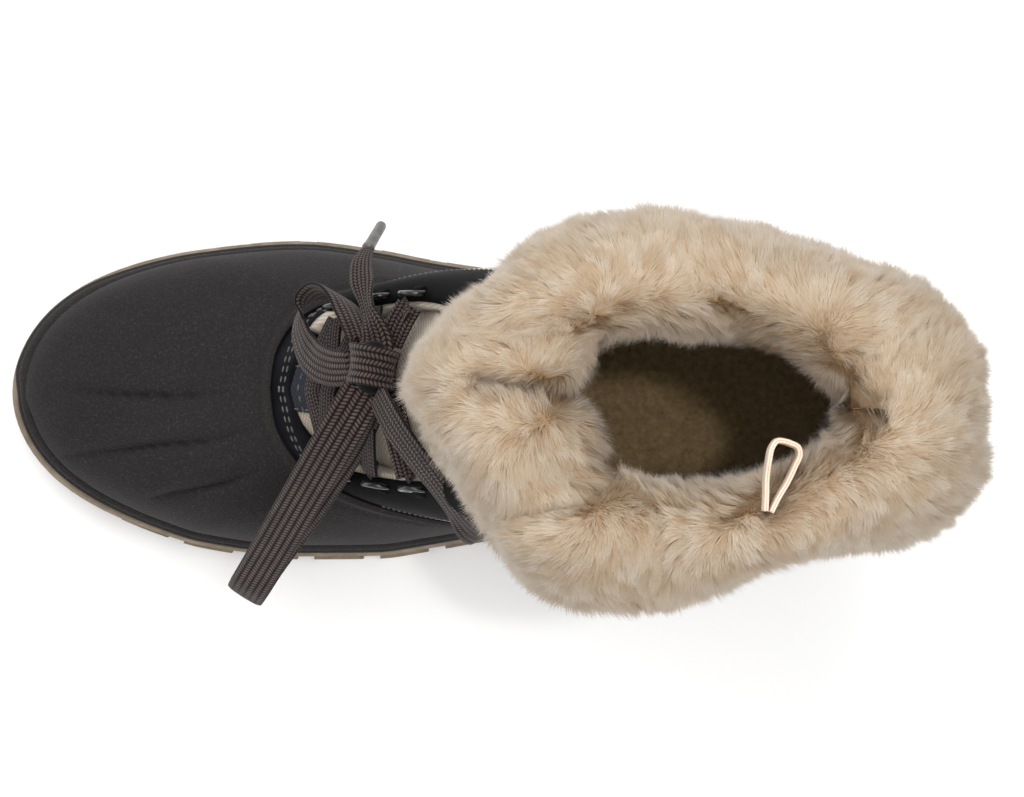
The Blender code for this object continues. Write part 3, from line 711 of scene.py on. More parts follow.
def grained_leather(name, dark, light, grain, roughness):
    """Finished leather: pebbled grain about so many mm across, its shine and colour drifting in clouds."""
    made, tree, shader, place = finish(name, roughness, Specular_IOR_Level=0.004)
    pebble = add(tree, "ShaderNodeTexVoronoi", {"Vector": place, "Scale": every(grain), "Randomness": 0.9},
                 feature="SMOOTH_F1")
    cloud = add(tree, NOISE, {"Vector": place, "Scale": every(11), "Detail": 5.0})
    base = add(tree, RAMP, (cloud,), stops=((0.35, dark), (0.68, light)))
    rough = add(tree, RANGE, {"Value": cloud, "To Min": roughness - 0.07, "To Max": roughness + 0.12})
    bump = add(tree, BUMP, {"Height": pebble, "Distance": 0.00025, "Strength": 0.45}, invert=True)
    feed(tree, shader, {"Base Color": base, "Roughness": rough, "Normal": bump})
    return made


def woven(name, dark, light, thread, roughness, sheen=0.2, gaps="#B4B4B4"):
    """Plain-woven cloth from the piece's own UV, which holds tenths of a metre, darker in the gaps between
    its threads as painted shade.
    """
    made, tree, shader, place = finish(name, roughness, Sheen_Weight=sheen, Specular_IOR_Level=0.35)
    split = add(tree, "ShaderNodeSeparateXYZ", (add(tree, PLACE).outputs["UV"],))
    waves = []
    for axis in "XY":
        run = add(tree, MATH, (split.outputs[axis], 100 * math.pi / thread), operation="MULTIPLY")
        waves.append(add(tree, MATH, (run,), operation="SINE"))
    cross = add(tree, MATH, waves, operation="MULTIPLY")
    height = add(tree, RANGE, {"Value": cross, "From Min": -1.0, "From Max": 1.0})
    cloud = add(tree, NOISE, {"Vector": place, "Scale": every(14), "Detail": 5.0})
    base = add(tree, RAMP, (cloud,), stops=((0.3, dark), (0.7, light)))
    # Painted shade: the gaps colour darkens the cloth where the weave sinks between threads
    shade = add(tree, RAMP, (height,), stops=((0.0, gaps), (0.8, "#FFFFFF")))
    mixed = add(tree, MIX, {"Factor": 1.0, "A": base, "B": shade}, data_type="RGBA", blend_type="MULTIPLY")
    bump = add(tree, BUMP, {"Height": height, "Distance": 0.0002, "Strength": 0.6})
    feed(tree, shader, {"Base Color": mixed, "Normal": bump})
    return made


def braided_lace():
    """A flat polyester braid: six ribs along it, each crossed by slanting bundles of thread, darker in the
    grooves between them and along its two edges as painted shade.
    """
    made, tree, shader, place = finish("flat braided lace", 0.86, Sheen_Weight=0.12, Specular_IOR_Level=0.18)
    split = add(tree, "ShaderNodeSeparateXYZ", (add(tree, PLACE).outputs["UV"],))
    rib, slant = 2.17, 1.25  # mm between ribs, and between bundles
    across = add(tree, MATH, (split.outputs["X"], 100 / rib), operation="MULTIPLY")
    fold = add(tree, MATH, (across, 1.0), operation="PINGPONG")
    lean = add(tree, MATH, (fold, 0.75), operation="MULTIPLY")
    steps = add(tree, MATH, (split.outputs["Y"], 100 / slant), operation="MULTIPLY")
    bundle = add(tree, MATH, (steps, lean), operation="ADD")
    swells = []
    for source in (bundle, fold):
        wave = add(tree, MATH, (source, 0.5), operation="PINGPONG")
        swells.append(add(tree, RANGE, {"Value": wave, "From Max": 0.5}, interpolation_type="SMOOTHSTEP"))
    # Painted shade along the braid's two edges
    off = add(tree, MATH, (split.outputs["X"],), operation="ABSOLUTE")
    inner = add(tree, RANGE, {"Value": off, "From Min": 0.058, "From Max": 0.064,
                              "To Min": 1.0, "To Max": 0.2})
    bundles = add(tree, MATH, swells, operation="MULTIPLY")
    height = add(tree, MATH, (bundles, inner), operation="MULTIPLY")
    cloud = add(tree, NOISE, {"Vector": place, "Scale": every(6), "Detail": 5.0})
    base = add(tree, RAMP, (cloud,), stops=((0.3, "#473A37"), (0.7, "#5A4B47")))
    # Painted shade in the grooves between ribs and bundles
    shade = add(tree, RAMP, (height,), stops=((0.0, "#1A1615"), (0.12, "#7E7673"), (0.42, "#FFFFFF")))
    mixed = add(tree, MIX, {"Factor": 1.0, "A": base, "B": shade}, data_type="RGBA", blend_type="MULTIPLY")
    bump = add(tree, BUMP, {"Height": height, "Distance": 0.0005, "Strength": 0.8})
    feed(tree, shader, {"Base Color": mixed, "Normal": bump})
    return made


def fleece_fibre(name, root, middle, tip):
    """Acrylic pile: darker toward the root as painted shade in its depth, cream along the fibre and paler at
    the tip as painted light, some locks browner.
    """
    made, tree, shader, _ = finish(name, 0.75, Sheen_Weight=0.25, Specular_IOR_Level=0.25)
    along, tone = (add(tree, MARK, attribute_name=mark).outputs["Fac"] for mark in ("along", "tone"))
    # Painted shade toward the root and painted light toward the tip
    base = add(tree, RAMP, (along,), stops=((0.0, root), (0.45, middle), (1.0, tip)))
    tint = add(tree, RAMP, (tone,), stops=((0.0, "#EADDCD"), (0.5, "#F5EFE6"), (1.0, "#FFFFFF")))
    mixed = add(tree, MIX, {"Factor": 1.0, "A": base, "B": tint}, data_type="RGBA", blend_type="MULTIPLY")
    feed(tree, shader, {"Base Color": mixed})
    # A round fibre shows the light on the pile's outer side, whichever side of its flat blade is seen
    back = add(tree, "ShaderNodeNewGeometry").outputs["Backfacing"]
    behind = add(tree, "ShaderNodeBsdfTranslucent", {"Color": mixed})
    both = add(tree, "ShaderNodeMixShader", (back, shader, behind))
    feed(tree, tree.nodes["Material Output"], {"Surface": both})
    return made


def lacquered_steel():
    """Black lacquered steel wire: glossy, with faint scuffs that catch the light."""
    made, tree, shader, place = finish("black lacquered steel", 0.28, Coat_Weight=0.25, Coat_Roughness=0.1)
    scuff = add(tree, NOISE, {"Vector": place, "Scale": every(3), "Detail": 6.0, "Roughness": 0.7})
    base = add(tree, RAMP, (scuff,), stops=((0.45, "#08080A"), (0.75, "#17181B")))
    rough = add(tree, RANGE, {"Value": scuff, "To Min": 0.16, "To Max": 0.42})
    feed(tree, shader, {"Base Color": base, "Roughness": rough})
    return made


def painted_floor():
    """A pale painted floor, matte and even."""
    made, _, shader, _ = finish("pale floor", 0.9, Specular_IOR_Level=0.1)
    shader.inputs["Base Color"].default_value = linear("#FFFFFF")
    return made


RUBBER = moulded_rubber()
# Crepe rubber: chalky and mottled with dust, with a fine sand-like skin
SOLE_RUBBER = mottled("tan sole rubber", 0.82, ((0.3, "#6C6052"), (0.5, "#807363"), (0.72, "#948775")),
                      (9, 7.0, 0.68), (0.0003, 0.6), (0.9, 4.0, 0.5), Specular_IOR_Level=0.3)
STRIP_LEATHER = grained_leather("waxed navy leather", "#1A1A1D", "#25262A", 1.3, 0.58)
SMOOTH_LEATHER = grained_leather("smooth black leather", "#0F0F10", "#18181A", 0.8, 0.4)
NYLON = woven("padded beige nylon", "#C4B4A0", "#D6C9B8", 0.9, 0.62)
NAVY_CLOTH = woven("navy keeper cloth", "#161924", "#222636", 0.9, 0.7, 0.08)
LACE = braided_lace()
FLEECE_FIBRE = fleece_fibre("cream fleece", "#AE997F", "#C0B19D", "#CFC4B6")
# The lining is the cream fleece darker and greyer: painted shade for the inside of the leg, partly a greyer
# tone of its own
SHADED_LINING_FIBRE = fleece_fibre("short grey-brown pile in painted shade", "#4B3D2F", "#8D7D69", "#B3A48E")
# Pressed felt: matted brown fibre with no shine
FELT = mottled("pressed felt", 0.96, ((0.32, "#7A6443"), (0.52, "#9A805B"), (0.74, "#B39A74")),
               (2.4, 8.0, 0.75), (0.0008, 0.8), Sheen_Weight=0.4, Specular_IOR_Level=0.15)
# Bonded polyester thread: two plies, slightly shiny
PALE_THREAD = mottled("grey waxed thread", 0.55, ((0.35, "#4A4846"), (0.65, "#686562")),
                      (0.6, 3.0, 0.5), (0.0001, 0.5), Specular_IOR_Level=0.4)
STEEL = lacquered_steel()
# Translucent grey-brown plastic, crimped over the end of the lace
TIP = mottled("crimped plastic", 0.34, ((0.35, "#4A4644"), (0.7, "#67625F")),
              (2.5, 4.0, 0.5), (0.0002, 0.4), Coat_Weight=0.3)
TAPE = woven("peach cotton tape", "#E6CCB5", "#F2DECB", 0.5, 0.8, 0.2, "#E2DDD8")


# ---------------------------------------------------------------- camera, light and floor

def place_camera():
    """Nearly straight down from 1.5 m, leaning a little to the lateral side."""
    tilt, far = math.radians(1.5), 1.51
    view = bpy.data.cameras.new("camera")
    view.sensor_width = 36.0
    view.lens = 152.7
    camera = bpy.data.objects.new("camera", view)
    aim = MM * (np.array([171.2, 0.0, 0.0]) - ORIGIN)
    camera.location = aim + far * np.array([0.0, -math.sin(tilt), math.cos(tilt)])
    camera.rotation_euler = (tilt, 0.0, 0.0)
    bpy.context.scene.collection.objects.link(camera)
    bpy.context.scene.camera = camera
    bpy.context.scene.view_settings.view_transform = "Standard"


def shine(name, kind, power, spot, aim=(0, 0, 0)):
    """A lamp at a spot in metres, turned to its aim."""
    lamp = bpy.data.lights.new(name, kind)
    lamp.energy = power
    light = bpy.data.objects.new(name, lamp)
    light.location = spot
    light.rotation_euler = (Vector(aim) - light.location).to_track_quat("-Z", "Y").to_euler()
    bpy.context.scene.collection.objects.link(light)
    return lamp


def place_lights():
    """A large soft key over the medial side, a weaker fill from the other side, a soft light from above,
    and a narrow one down into the leg."""
    shine("key", "AREA", 15.0, (-0.35, 1.0, 1.5)).size = 1.4
    shine("fill", "AREA", 7.0, (0.3, -1.2, 1.5)).size = 1.6
    shine("top", "AREA", 13.0, (0.1, 0.1, 2.0)).size = 1.3
    lamp = shine("into the leg", "SPOT", 125.0, (0.33, 0.06, 2.2), (0.055, -0.002, 0.15))
    lamp.spot_size = math.radians(4.2)
    lamp.spot_blend = 1.0
    lamp.shadow_soft_size = 0.1
    world = bpy.data.worlds.new("studio")
    world.use_nodes = True
    feed(world.node_tree, world.node_tree.nodes["Background"], {"Color": (1, 1, 1, 1), "Strength": 0.72})
    bpy.context.scene.world = world


def place_floor():
    half = 3000.0
    corners = np.array([(-half, -half, 0), (half, -half, 0), (half, half, 0), (-half, half, 0)])
    floor = piece("floor", corners + ORIGIN - (0, 0, 0.05), [[0, 1, 2, 3]], painted_floor())


def settle(made, slot, *nodes):
    """The piece rides on the boot and stands for CAD nodes. slot is not used."""
    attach(made, "root")
    if nodes:
        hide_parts(*nodes)
    return made


# ---------------------------------------------------------------- laces

# How each free lace lies: the way across it and its width in mm, from its first point to its last
LAY = {
    "bow_loop_side": (
        ((0.85, -0.53, 0.0),),
        (14.0, 14.0, 13.6, 13.4, 13.0, 13.0, 13.0, 12.0, 11.0),
    ),
    "bow_loop_front": (
        ((0.1, 0.85, 0.5), (0.15, 0.85, 0.5), (0.5, 0.5, 0.75), (0.4, 0.1, 0.95), (-0.1, 0.35, 0.95),
         (-0.4, 0.25, 0.85), (-0.5, -0.25, 0.8), (-0.5, -0.5, 0.65)),
        (11.0, 13.0, 13.0, 13.0, 13.0, 13.0, 12.0, 10.0),
    ),
    "lace_end_tip": (
        ((1, 0, 0.1), (1, 0, 0.1), (0.9, 0, 0.3), (0.5, 0, 0.86), (0.9, 0, 0.4), (1, 0, 0), (1, 0, 0)),
        (9.0, 11.5, 11.5, 9.5, 5.4, 8.0, 7.0, 4.2),
    ),
    "lace_end_side": (
        ((0.5, 0.4, 0.75), (0.45, 0.35, 0.8), (0.4, 0.3, 0.85), (0.3, 0.25, 0.92), (0.3, 0.4, 0.85),
         (0.5, 0.6, 0.5)),
        (9.0, 12.0, 13.0, 13.0, 12.0, 9.0, 4.2),
    ),
}
# The course of the lace's tip end through the knot
KNOT_START = (np.array([127.0, -3.5, 127.0]), np.array([127.5, 8.0, 128.0]))


def free_lace(name, route, aglet=None):
    """A free run of the lace along its route. aglet is not used."""
    path = smooth_path(route, 1.2)
    sides, widths = LAY[name]
    made = ribbon(name, path, sides, widths, LACE_BRAID, LACE, slack=0.25)
    settle(made, "lace", name)
    return made


def make_aglet(name):
    """A crimped plastic tip: a short flare where it grips the braid, and a rounded end."""
    start, end = np.array(AGLETS[name])
    share = np.array([0, 0.03, 0.08, 0.14, 0.3, 0.6, 0.88, 0.95, 0.985, 1.0])
    radius = (1.7, 2.05, 2.1, 1.9, 1.8, 1.75, 1.75, 1.55, 1.1, 0.4)
    made = piece(name, *tube_mesh(start + share[:, None] * (end - start), radius, 18), TIP)
    return settle(made, "aglet", name)


def make_laces():
    """The bow's two loops and the lace's two ends."""
    free_lace("bow_loop_side", ROUTES["bow_loop_side"])
    free_lace("bow_loop_front", ROUTES["bow_loop_front"])
    free_lace("lace_end_tip", [*KNOT_START, *ROUTES["lace_end_tip"]], make_aglet("aglet_tip"))
    free_lace("lace_end_side", ROUTES["lace_end_side"], make_aglet("aglet_side"))


def make_knot():
    """The lace's last wrap round the knot, domed and creased at both edges, over a gathered core."""
    angles = np.linspace(-0.55, 2 * math.pi - 0.75, 70)
    run, up = unit(np.array([0.55, 0.0, 0.84])), unit(np.array([-0.84, 0.0, 0.55]))
    lean = np.array([0.0, 1.0, 0.0])
    path = KNOT + 7.9 * np.cos(angles)[:, None] * run + 6.9 * np.sin(angles)[:, None] * up
    path += (1.6 * np.sin(angles - 0.4))[:, None] * lean
    made = ribbon("lace_knot", path, (0.1, 1.0, 0.05), (12.5, 13.0, 13.0, 12.5), LACE_BRAID, LACE, arch=1.5)
    settle(made, "lace", "lace_knot")
    spots = np.linspace(-8.6, 8.6, 17)
    radius = 6.0 * np.sqrt(np.clip(1 - (spots / 9.4) ** 2, 0.02, 1))
    core = KNOT + spots[:, None] * np.array([0.05, 1.0, 0.0])
    settle(piece("knot_core", *tube_mesh(core, radius, 24), LACE), "lace")


def crossing(name, start, end, bow, width=8.5, count=40):
    """A run of the lace over the tongue, from one side's loop to the other's."""
    share = np.linspace(0, 1, count)
    turns = start[0] + share * (end[0] - start[0])
    ts = start[1] + share * (end[1] - start[1])
    flat = np.array([face(shaft_column, [u], [t])[0, 0] for u, t in zip(turns, ts)])
    up = np.array([outward(shaft_column, [u], [t])[0, 0] for u, t in zip(turns, ts)])
    path = flat + (bow + 1.2 * np.sin(math.pi * share))[:, None] * up
    along = units(np.gradient(path, axis=0))
    return ribbon(name, path, np.cross(up, along), width, LACE_BRAID, LACE, slack=0.2)


def make_lacing():
    """The lace's crossings over the tongue, and its two runs up to the knot."""
    turn, level = 0.155, LOOP_LEVELS
    runs = [((-turn, level[0]), (turn, level[0]))]
    for low, high in zip(level, level[1:]):
        runs += [((side * turn, low), (-side * turn, high)) for side in (1, -1)]
    made = [crossing(f"lacing_{k + 1}", a, b, 1.6 + 1.9 * (k % 2)) for k, (a, b) in enumerate(runs)]
    for side, hand in ((1, "medial"), (-1, "lateral")):
        start, _ = lifted(-side * turn, level[-1], 2.8)
        end = KNOT + (5.5, side * 7.5, -2.5)
        middle = (start + end) / 2 + (-0.5, 0.0, 0.8)
        path = smooth_path([start, middle, end], 1.2)
        across = (0.92, -0.25 * side, 0.3)
        made.append(ribbon(f"lacing_pull_{hand}", path, across, (9, 9, 8), LACE_BRAID, LACE))
    settle(made[0], "lace", "lacing")
    for other in made[1:]:
        settle(other, "lace")


# ---------------------------------------------------------------- rubber

# Creases pressed into the forefoot by walking: depth and half width in mm, then where each one runs
CREASES = (
    (0.8, 3.2, (15.7, 2.0), (43.4, -0.4), (76.9, -1.0)),
    (1.2, 1.1, (15.7, 2.0), (43.4, -0.4), (76.9, -1.0)),
    (0.8, 3.0, (17.4, -21.9), (42.4, -18.8), (56.8, -17.1), (68.5, -16.5), (82.6, -13.4)),
    (1.3, 1.1, (17.4, -21.9), (42.4, -18.8), (56.8, -17.1), (68.5, -16.5), (82.6, -13.4)),
    (-0.7, 2.4, (17.4, -18.2), (42.4, -14.9), (68.5, -12.5)),
    (-0.9, 2.6, (42.4, -34.9), (50.1, -32.0), (61.8, -27.1), (82.6, -22.7)),
    (0.8, 3.0, (50.1, -35.6), (63.5, -33.1), (76.9, -29.9), (86.9, -26.1)),
    (1.2, 1.1, (50.1, -35.6), (63.5, -33.1), (76.9, -29.9), (86.9, -26.1)),
    (0.5, 3.0, (25.7, 30.3), (56.8, 24.4)),
    (0.5, 3.0, (70.2, 35.0), (91.9, 29.2)),
)


def crease_depth(points):
    """How far in the creases press the shell at each point."""
    flat = points[..., :2]
    depth = np.zeros(points.shape[:-1])
    for deep, wide, *marks in CREASES:
        line = smooth_path(np.array([(*m, 0.0) for m in marks]), 2.0)[:, :2]
        share = np.linspace(0, 1, len(line))
        gaps = np.linalg.norm(flat[..., None, :] - line, axis=-1)
        nearest = gaps.argmin(-1)
        fade = np.sin(math.pi * np.clip(share[nearest], 0.02, 0.98)) ** 0.5
        depth += deep * fade * np.exp(-((gaps.min(-1) / wide) ** 2))
    return depth


def make_shell():
    """The moulded rubber shell: foxing at its foot, creased forefoot, and a bead round its rim."""
    turns = np.array(once_round(np.concatenate([np.linspace(0, 0.42, 116)[:-1], np.linspace(0.42, 1, 46)])))
    rows = [np.linspace(*part) for part in ((0, 0.24, 32), (0.24, 0.84, 48), (0.84, 1, 22))]
    rows = np.unique(np.concatenate(rows))
    flat = face(shell_column, turns, rows)
    up = outward(shell_column, turns, rows)
    foot = measured(flat)
    top = foot[-1] - foot
    lateral = np.clip(-flat[..., 1:2] / 8, 0, 1)[..., 0]
    side = ramp(lateral, 0, 1)
    step = -(1.0 + 0.9 * side) * ramp(foot, 1.5, 10) * (1 - ramp(foot, 16, 60))
    beads = 1.0 * hump(foot, 2.0, 1.7) + (0.35 + 0.6 * side) * hump(foot, 6.2, 1.5)
    grooves = (0.3 + 0.6 * side) * hump(foot, 4.2, 0.8) + (0.5 + 0.6 * side) * hump(foot, 8.8, 0.9)
    medial = ramp(flat[..., 1] / 10, 0, 1) * (1 - 0.6 * ramp(np.abs(wrap(turns)), 0.12, 0.2))
    beads += 1.7 * medial * hump(foot, 3.5, 3.6)
    bead = 0.9 * hump(top, 2.0, 1.5) - 0.45 * hump(top, 5.2, 2.0) * ramp(foot, 20, 40)
    creases = crease_depth(flat)
    rise = step + beads - grooves + bead - creases * ramp(foot, 12, 20) * ramp(top, 2, 8)
    rise = rise * ramp(foot, 0, 0.5)
    front = flat + rise[..., None] * up
    few = np.linspace(0, 1, 18)
    back = face(shell_column, turns, few) - SHELL_WALL * outward(shell_column, turns, few)
    # Paler on the beads' crests: partly wear, partly painted highlight
    rub_and_highlight = 0.12 * hump(top, 2.0, 1.4) + 0.2 * hump(foot, 6.2, 1.0) + 0.1 * hump(foot, 2.0, 1.0)
    # Painted shade: darker in the forefoot's creases and in the lateral grooves at the foot
    fold = 0.75 * ramp(creases, 0.9, 1.9) + 0.8 * side * (hump(foot, 4.2, 0.7) + hump(foot, 8.8, 0.8))
    marks = {"rub_and_highlight": np.clip(rub_and_highlight, 0, 1), "fold": np.clip(fold, 0, 1)}
    return settle(plate("shell_rubber", front, back, RUBBER, True, marks=marks, sharp=60), "shell", "shell")


def lug_share(turn):
    """How deep the notches between lugs cut the sole's edge: fully behind, least at the toe and inside."""
    behind = float(ramp(abs(wrap(turn)), 0.1, 0.3))
    return 0.2 + (0.75 if wrap(turn) > 0 else 0.3) * behind


def make_outsole():
    """The cup sole's underside and its lugs, with rounded edges."""
    length = np.mean([EDGES[side][0] for side in EDGES])
    count = round(length / LUG_PITCH)
    pitch = length / count
    marks, lug_at = [], []
    for i in range(count + 1):
        low = max(0.0, i * pitch - (pitch - LUG_GAP) / 2)
        high = min(length, i * pitch + (pitch - LUG_GAP) / 2)
        for share in np.linspace(0, 1, 5)[:-1]:
            marks.append(low + share * (high - low))
            lug_at.append(True)
        if i < count:
            marks += [high, high + LUG_GAP / 2]
            lug_at += [False, False]
    turns = once_round([mark / length for mark in marks] + [1.0])
    columns, half = len(turns), len(turns) // 2
    in_lug = [lug_at[i] if i < half else lug_at[columns - 1 - i] for i in range(columns)]
    profile = (
        (24.0, "tread", LUG_DEPTH, 0.0, LUG_DEPTH),
        (19.0, "tread", LUG_DEPTH, 0.0, LUG_DEPTH),
        (LUG_PROUD, "tread", LUG_DEPTH, 0.8 * LUG_PROUD, LUG_DEPTH),
        (LUG_PROUD, "tread", LUG_DEPTH + 5.0, LUG_PROUD, 0.0),
        (LUG_PROUD, "top", -1.2, 0.0, 0.0),
        (LUG_PROUD + 1.0, "top", 0.0, 0.0, 0.0),
    )
    build = bmesh.new()
    moves = build.verts.layers.float_vector.new("move")

    def corner(point, move):
        vert = build.verts.new(point)
        vert[moves] = move
        return vert

    rings = []
    for ring_number, (inset, name, rise, proud, depth) in enumerate(profile):
        ring = []
        for turn in turns:
            shy = 1.0 if ring_number < 2 else lug_share(turn)
            (a, y), out = edge(turn, inset - LUG_PROUD * (1 - shy))
            ring.append(corner((a, y, sole(name, a) + rise), (*(shy * proud * out), -depth)))
        rings.append(ring)
    middle = [rings[0][0]]
    for k in range(1, half):
        lateral, medial = np.array(rings[0][k].co), np.array(rings[0][-k].co)
        a, y, _ = (lateral + medial) / 2 - (0.15 * (medial[1] - lateral[1]), 0, 0)
        middle.append(corner((a, y, sole("tread", a) + LUG_DEPTH), (0, 0, -LUG_DEPTH)))
    middle.append(rings[0][half])

    def span(ring, centre, upward):
        found = []
        for k in range(half):
            row = []
            lateral = [ring[k], ring[k + 1]]
            medial = [ring[(2 * half - k - 1) % columns], ring[(2 * half - k) % columns]]
            if centre is None:
                loops = [lateral + medial]
            else:
                loops = [lateral + [centre[k + 1], centre[k]], [centre[k], centre[k + 1]] + medial]
            for loop in loops:
                loop = list(dict.fromkeys(loop))
                if len(loop) > 2:
                    row.append(build.faces.new(loop if upward else loop[::-1]))
            found.append(row)
        return found

    lugs = []
    for j, (low, high) in enumerate(zip(rings, rings[1:])):
        for i in range(columns):
            k = (i + 1) % columns
            made = build.faces.new((low[i], low[k], high[k], high[i]))
            if in_lug[i] and j in (1, 2):
                lugs.append(made)
    span(rings[-1], None, True)
    for made, k in zip(span(rings[0], middle, False), range(half)):
        if in_lug[k] and 3 < k < half - 4:
            lugs += made
    drawn = bmesh.ops.extrude_face_region(build, geom=lugs)["geom"]
    for vert in (v for v in drawn if isinstance(v, bmesh.types.BMVert)):
        vert.co += vert[moves]
    bmesh.ops.delete(build, geom=lugs, context="FACES")
    bmesh.ops.remove_doubles(build, verts=build.verts, dist=1e-4)
    build.verts.index_update()
    points = np.array([v.co for v in build.verts])
    faces = [[v.index for v in f.verts] for f in build.faces]
    build.free()
    made = piece("outsole_rubber", points, faces, SOLE_RUBBER)
    bevel = made.modifiers.new("worn edges", "BEVEL")
    bevel.width = 0.9 * MM
    bevel.segments = 2
    bevel.limit_method = "ANGLE"
    bevel.angle_limit = math.radians(38)
    return settle(made, "outsole", "outsole")


def make_insole():
    """The felt footbed, a little dished, with a soft pile."""
    foot = SHELL_INSET + SHELL_WALL + INSOLE_ROOM
    turns = once_round(np.linspace(0, 1, 61))
    profile = [(foot, 0.6)]
    profile += [(foot + w, INSOLE_THICK - low) for w, low in ((0, 1.5), (0.4, 0.5), (1.5, 0))]
    profile += [(foot + w, INSOLE_THICK - 0.25 * ramp(w, 4, 16)) for w in (4, 7, 10, 14, 18)]
    rings = []
    for inset, rise in profile:
        places = [edge(turn, inset)[0] for turn in turns]
        rings.append([(*place, sole("top", place[0]) + rise) for place in places])
    points = np.array(rings)
    faces = [list(f) for f in quads(len(rings), len(turns), True)]
    half = len(turns) // 2
    for ring, under in ((len(rings) - 1, False), (0, True)):
        base = ring * len(turns)
        for k in range(half):
            corners = k, k + 1, (2 * half - k - 1) % (2 * half), (2 * half - k) % (2 * half)
            loop = list(dict.fromkeys(base + corner for corner in corners))
            if len(loop) > 2:
                faces.append(loop[::-1] if under else loop)
    return settle(piece("felt_insole", points, faces, FELT, sharp=50), "insole", "insole")


# ---------------------------------------------------------------- shaft, tongue and leather

def make_shaft():
    """The shaft's padded cloth body: a band tucked into the shell, and the open legs above it."""
    turns = np.array(once_round(np.linspace(0, 1, 91)))
    laps = []
    for lap in (SHAFT_LAP, SHAFT_LAP / 2):
        ts = [1 - lap / np.linalg.norm(shell(u, 0) - rim(u)) for u in turns]
        laps.append([sunk(shell, u, t, SHELL_WALL + SHAFT_ROOM) for u, t in zip(turns, ts)])
    ts = np.array([0.0, 0.03, 0.06, 0.1])
    flat, up = shaft_face(turns, ts)
    front = np.concatenate([np.array(laps), flat])
    up = np.concatenate([up[:1], up[:1], up])
    band = plate("shaft_band", front, front - SHAFT_WALL * up, STRIP_LEATHER, True, uv=grid_uv(front))
    settle(band, "shaft", "shaft")
    open_turns = np.linspace(FRONT_EDGE, 2 - FRONT_EDGE, 96)
    ts = np.linspace(0.1, 1.0, 24)
    flat, up = shaft_face(open_turns, ts)
    legs = plate("shaft_body", flat, flat - SHAFT_WALL * up, NYLON, uv=grid_uv(flat))
    settle(legs, "shaft")


def grid_uv(rows):
    """A place on the cloth for each point of a grid, in tenths of a metre."""
    across = measured(rows.transpose(1, 0, 2)).T
    return np.stack([across, measured(rows)], -1) / 100


def strip_top(turn):
    """The top edge of the leather round the shaft's foot: low in front, higher at the sides and behind."""
    share = abs(wrap(turn))
    return 0.1 + 0.06 * float(ramp(share, 0.2, 0.32)) + 0.14 * float(ramp(share, 0.3, 0.5))


def stay_foot(turn):
    """The lower edge of a lacing stay, just over the strip and cut back at its front corner."""
    return strip_top(turn) + 0.012 + 0.12 * (1 - float(ramp(abs(turn), 0.172, 0.25)))


def stitch_line(surface, turns, ts, lift):
    """A seam's course above a surface, and the outward direction along it."""
    points, ups = [], []
    for turn, t in zip(turns, ts):
        flat, up = surface([turn], [t])
        points.append(flat[0, 0] + lift * up[0, 0])
        ups.append(up[0, 0])
    return np.array(points), np.array(ups)


def make_leather():
    """Leather over the cloth: the strip round the foot, two stays for the lacing, one behind."""
    seams = []
    strip = panel("foot_strip", STRIP_LEATHER, (0, 2), lambda u: -0.02, strip_top, 1.3,
                  closed=True, pitch=3.0)
    settle(strip, "shaft")
    for side, hand in ((1, "medial"), (-1, "lateral")):
        stay = panel(f"lace_stay_{hand}", SMOOTH_LEATHER, (-side * 0.174, -side * 0.345), stay_foot,
                     lambda u: 0.97, 1.5, base=0.9)
        settle(stay, "shaft")
        cloth = panel(f"side_cloth_{hand}", NYLON, (-side * 0.335, -side * 0.94),
                      lambda u: strip_top(u) - 0.03, lambda u: 0.96, 1.0, puff=1.2)
        settle(cloth, "shaft")
        seams.append(stitch_line(shaft_face, [-side * 0.334] * 60, np.linspace(0.19, 0.95, 60), 2.4))
    stay = panel("heel_stay", STRIP_LEATHER, (0.955, 1.045), lambda u: 0.02, lambda u: 0.95, 1.4, base=0.9)
    settle(stay, "shaft")
    ts = np.linspace(0.05, 0.93, 60)
    for turn in (0.966, 1.034):
        seams.append(stitch_line(shaft_face, [turn] * 60, ts, 2.4))
    turns = np.linspace(0, 2, 240)
    for down in (1.3, 3.3):
        ts = [below(u, strip_top(u), down) for u in turns]
        seams.append(stitch_line(shaft_face, turns, ts, 1.4))
    return seams


def below(turn, t, down):
    """The place so many mm down a column of the shaft from t."""
    ends = face(shaft_column, [turn], [t - 0.02, t])[:, 0]
    return t - 0.02 * down / float(np.linalg.norm(ends[1] - ends[0]))


def make_tongue():
    """The gusseted tongue: quilted cloth, and a cloth keeper sewn across it low down."""
    turns, ts = np.linspace(-0.25, 0.25, 42), np.linspace(0.105, 0.985, 100)
    flat, up = tongue_face(turns, ts)
    down = measured(flat)
    channel = sum(hump(down, middle, 1.0) for middle in np.arange(26, 130, 17))
    swell = 0.8 * np.clip(1 - (turns / 0.2) ** 2, 0, 1)
    front = flat + ((0.5 - 1.2 * channel) * swell)[..., None] * up
    tongue = plate("tongue_cloth", front, flat - 5.0 * up, NYLON, uv=grid_uv(front))
    settle(tongue, "tongue", "tongue")
    keeper = panel("tongue_keeper", NAVY_CLOTH, (-0.066, 0.054), lambda u: 0.112, lambda u: 0.235, 1.1,
                   surface=tongue_face, base=0.9, pitch=1.2)
    settle(keeper, "tongue")
    seams = []
    across = np.linspace(-0.058, 0.046, 30)
    for t in (0.158, 0.222):
        seams.append(stitch_line(tongue_face, across, [t] * 30, 2.1))
    for turn in (-0.058, 0.046):
        seams.append(stitch_line(tongue_face, [turn] * 12, np.linspace(0.125, 0.222, 12), 2.1))
    return seams


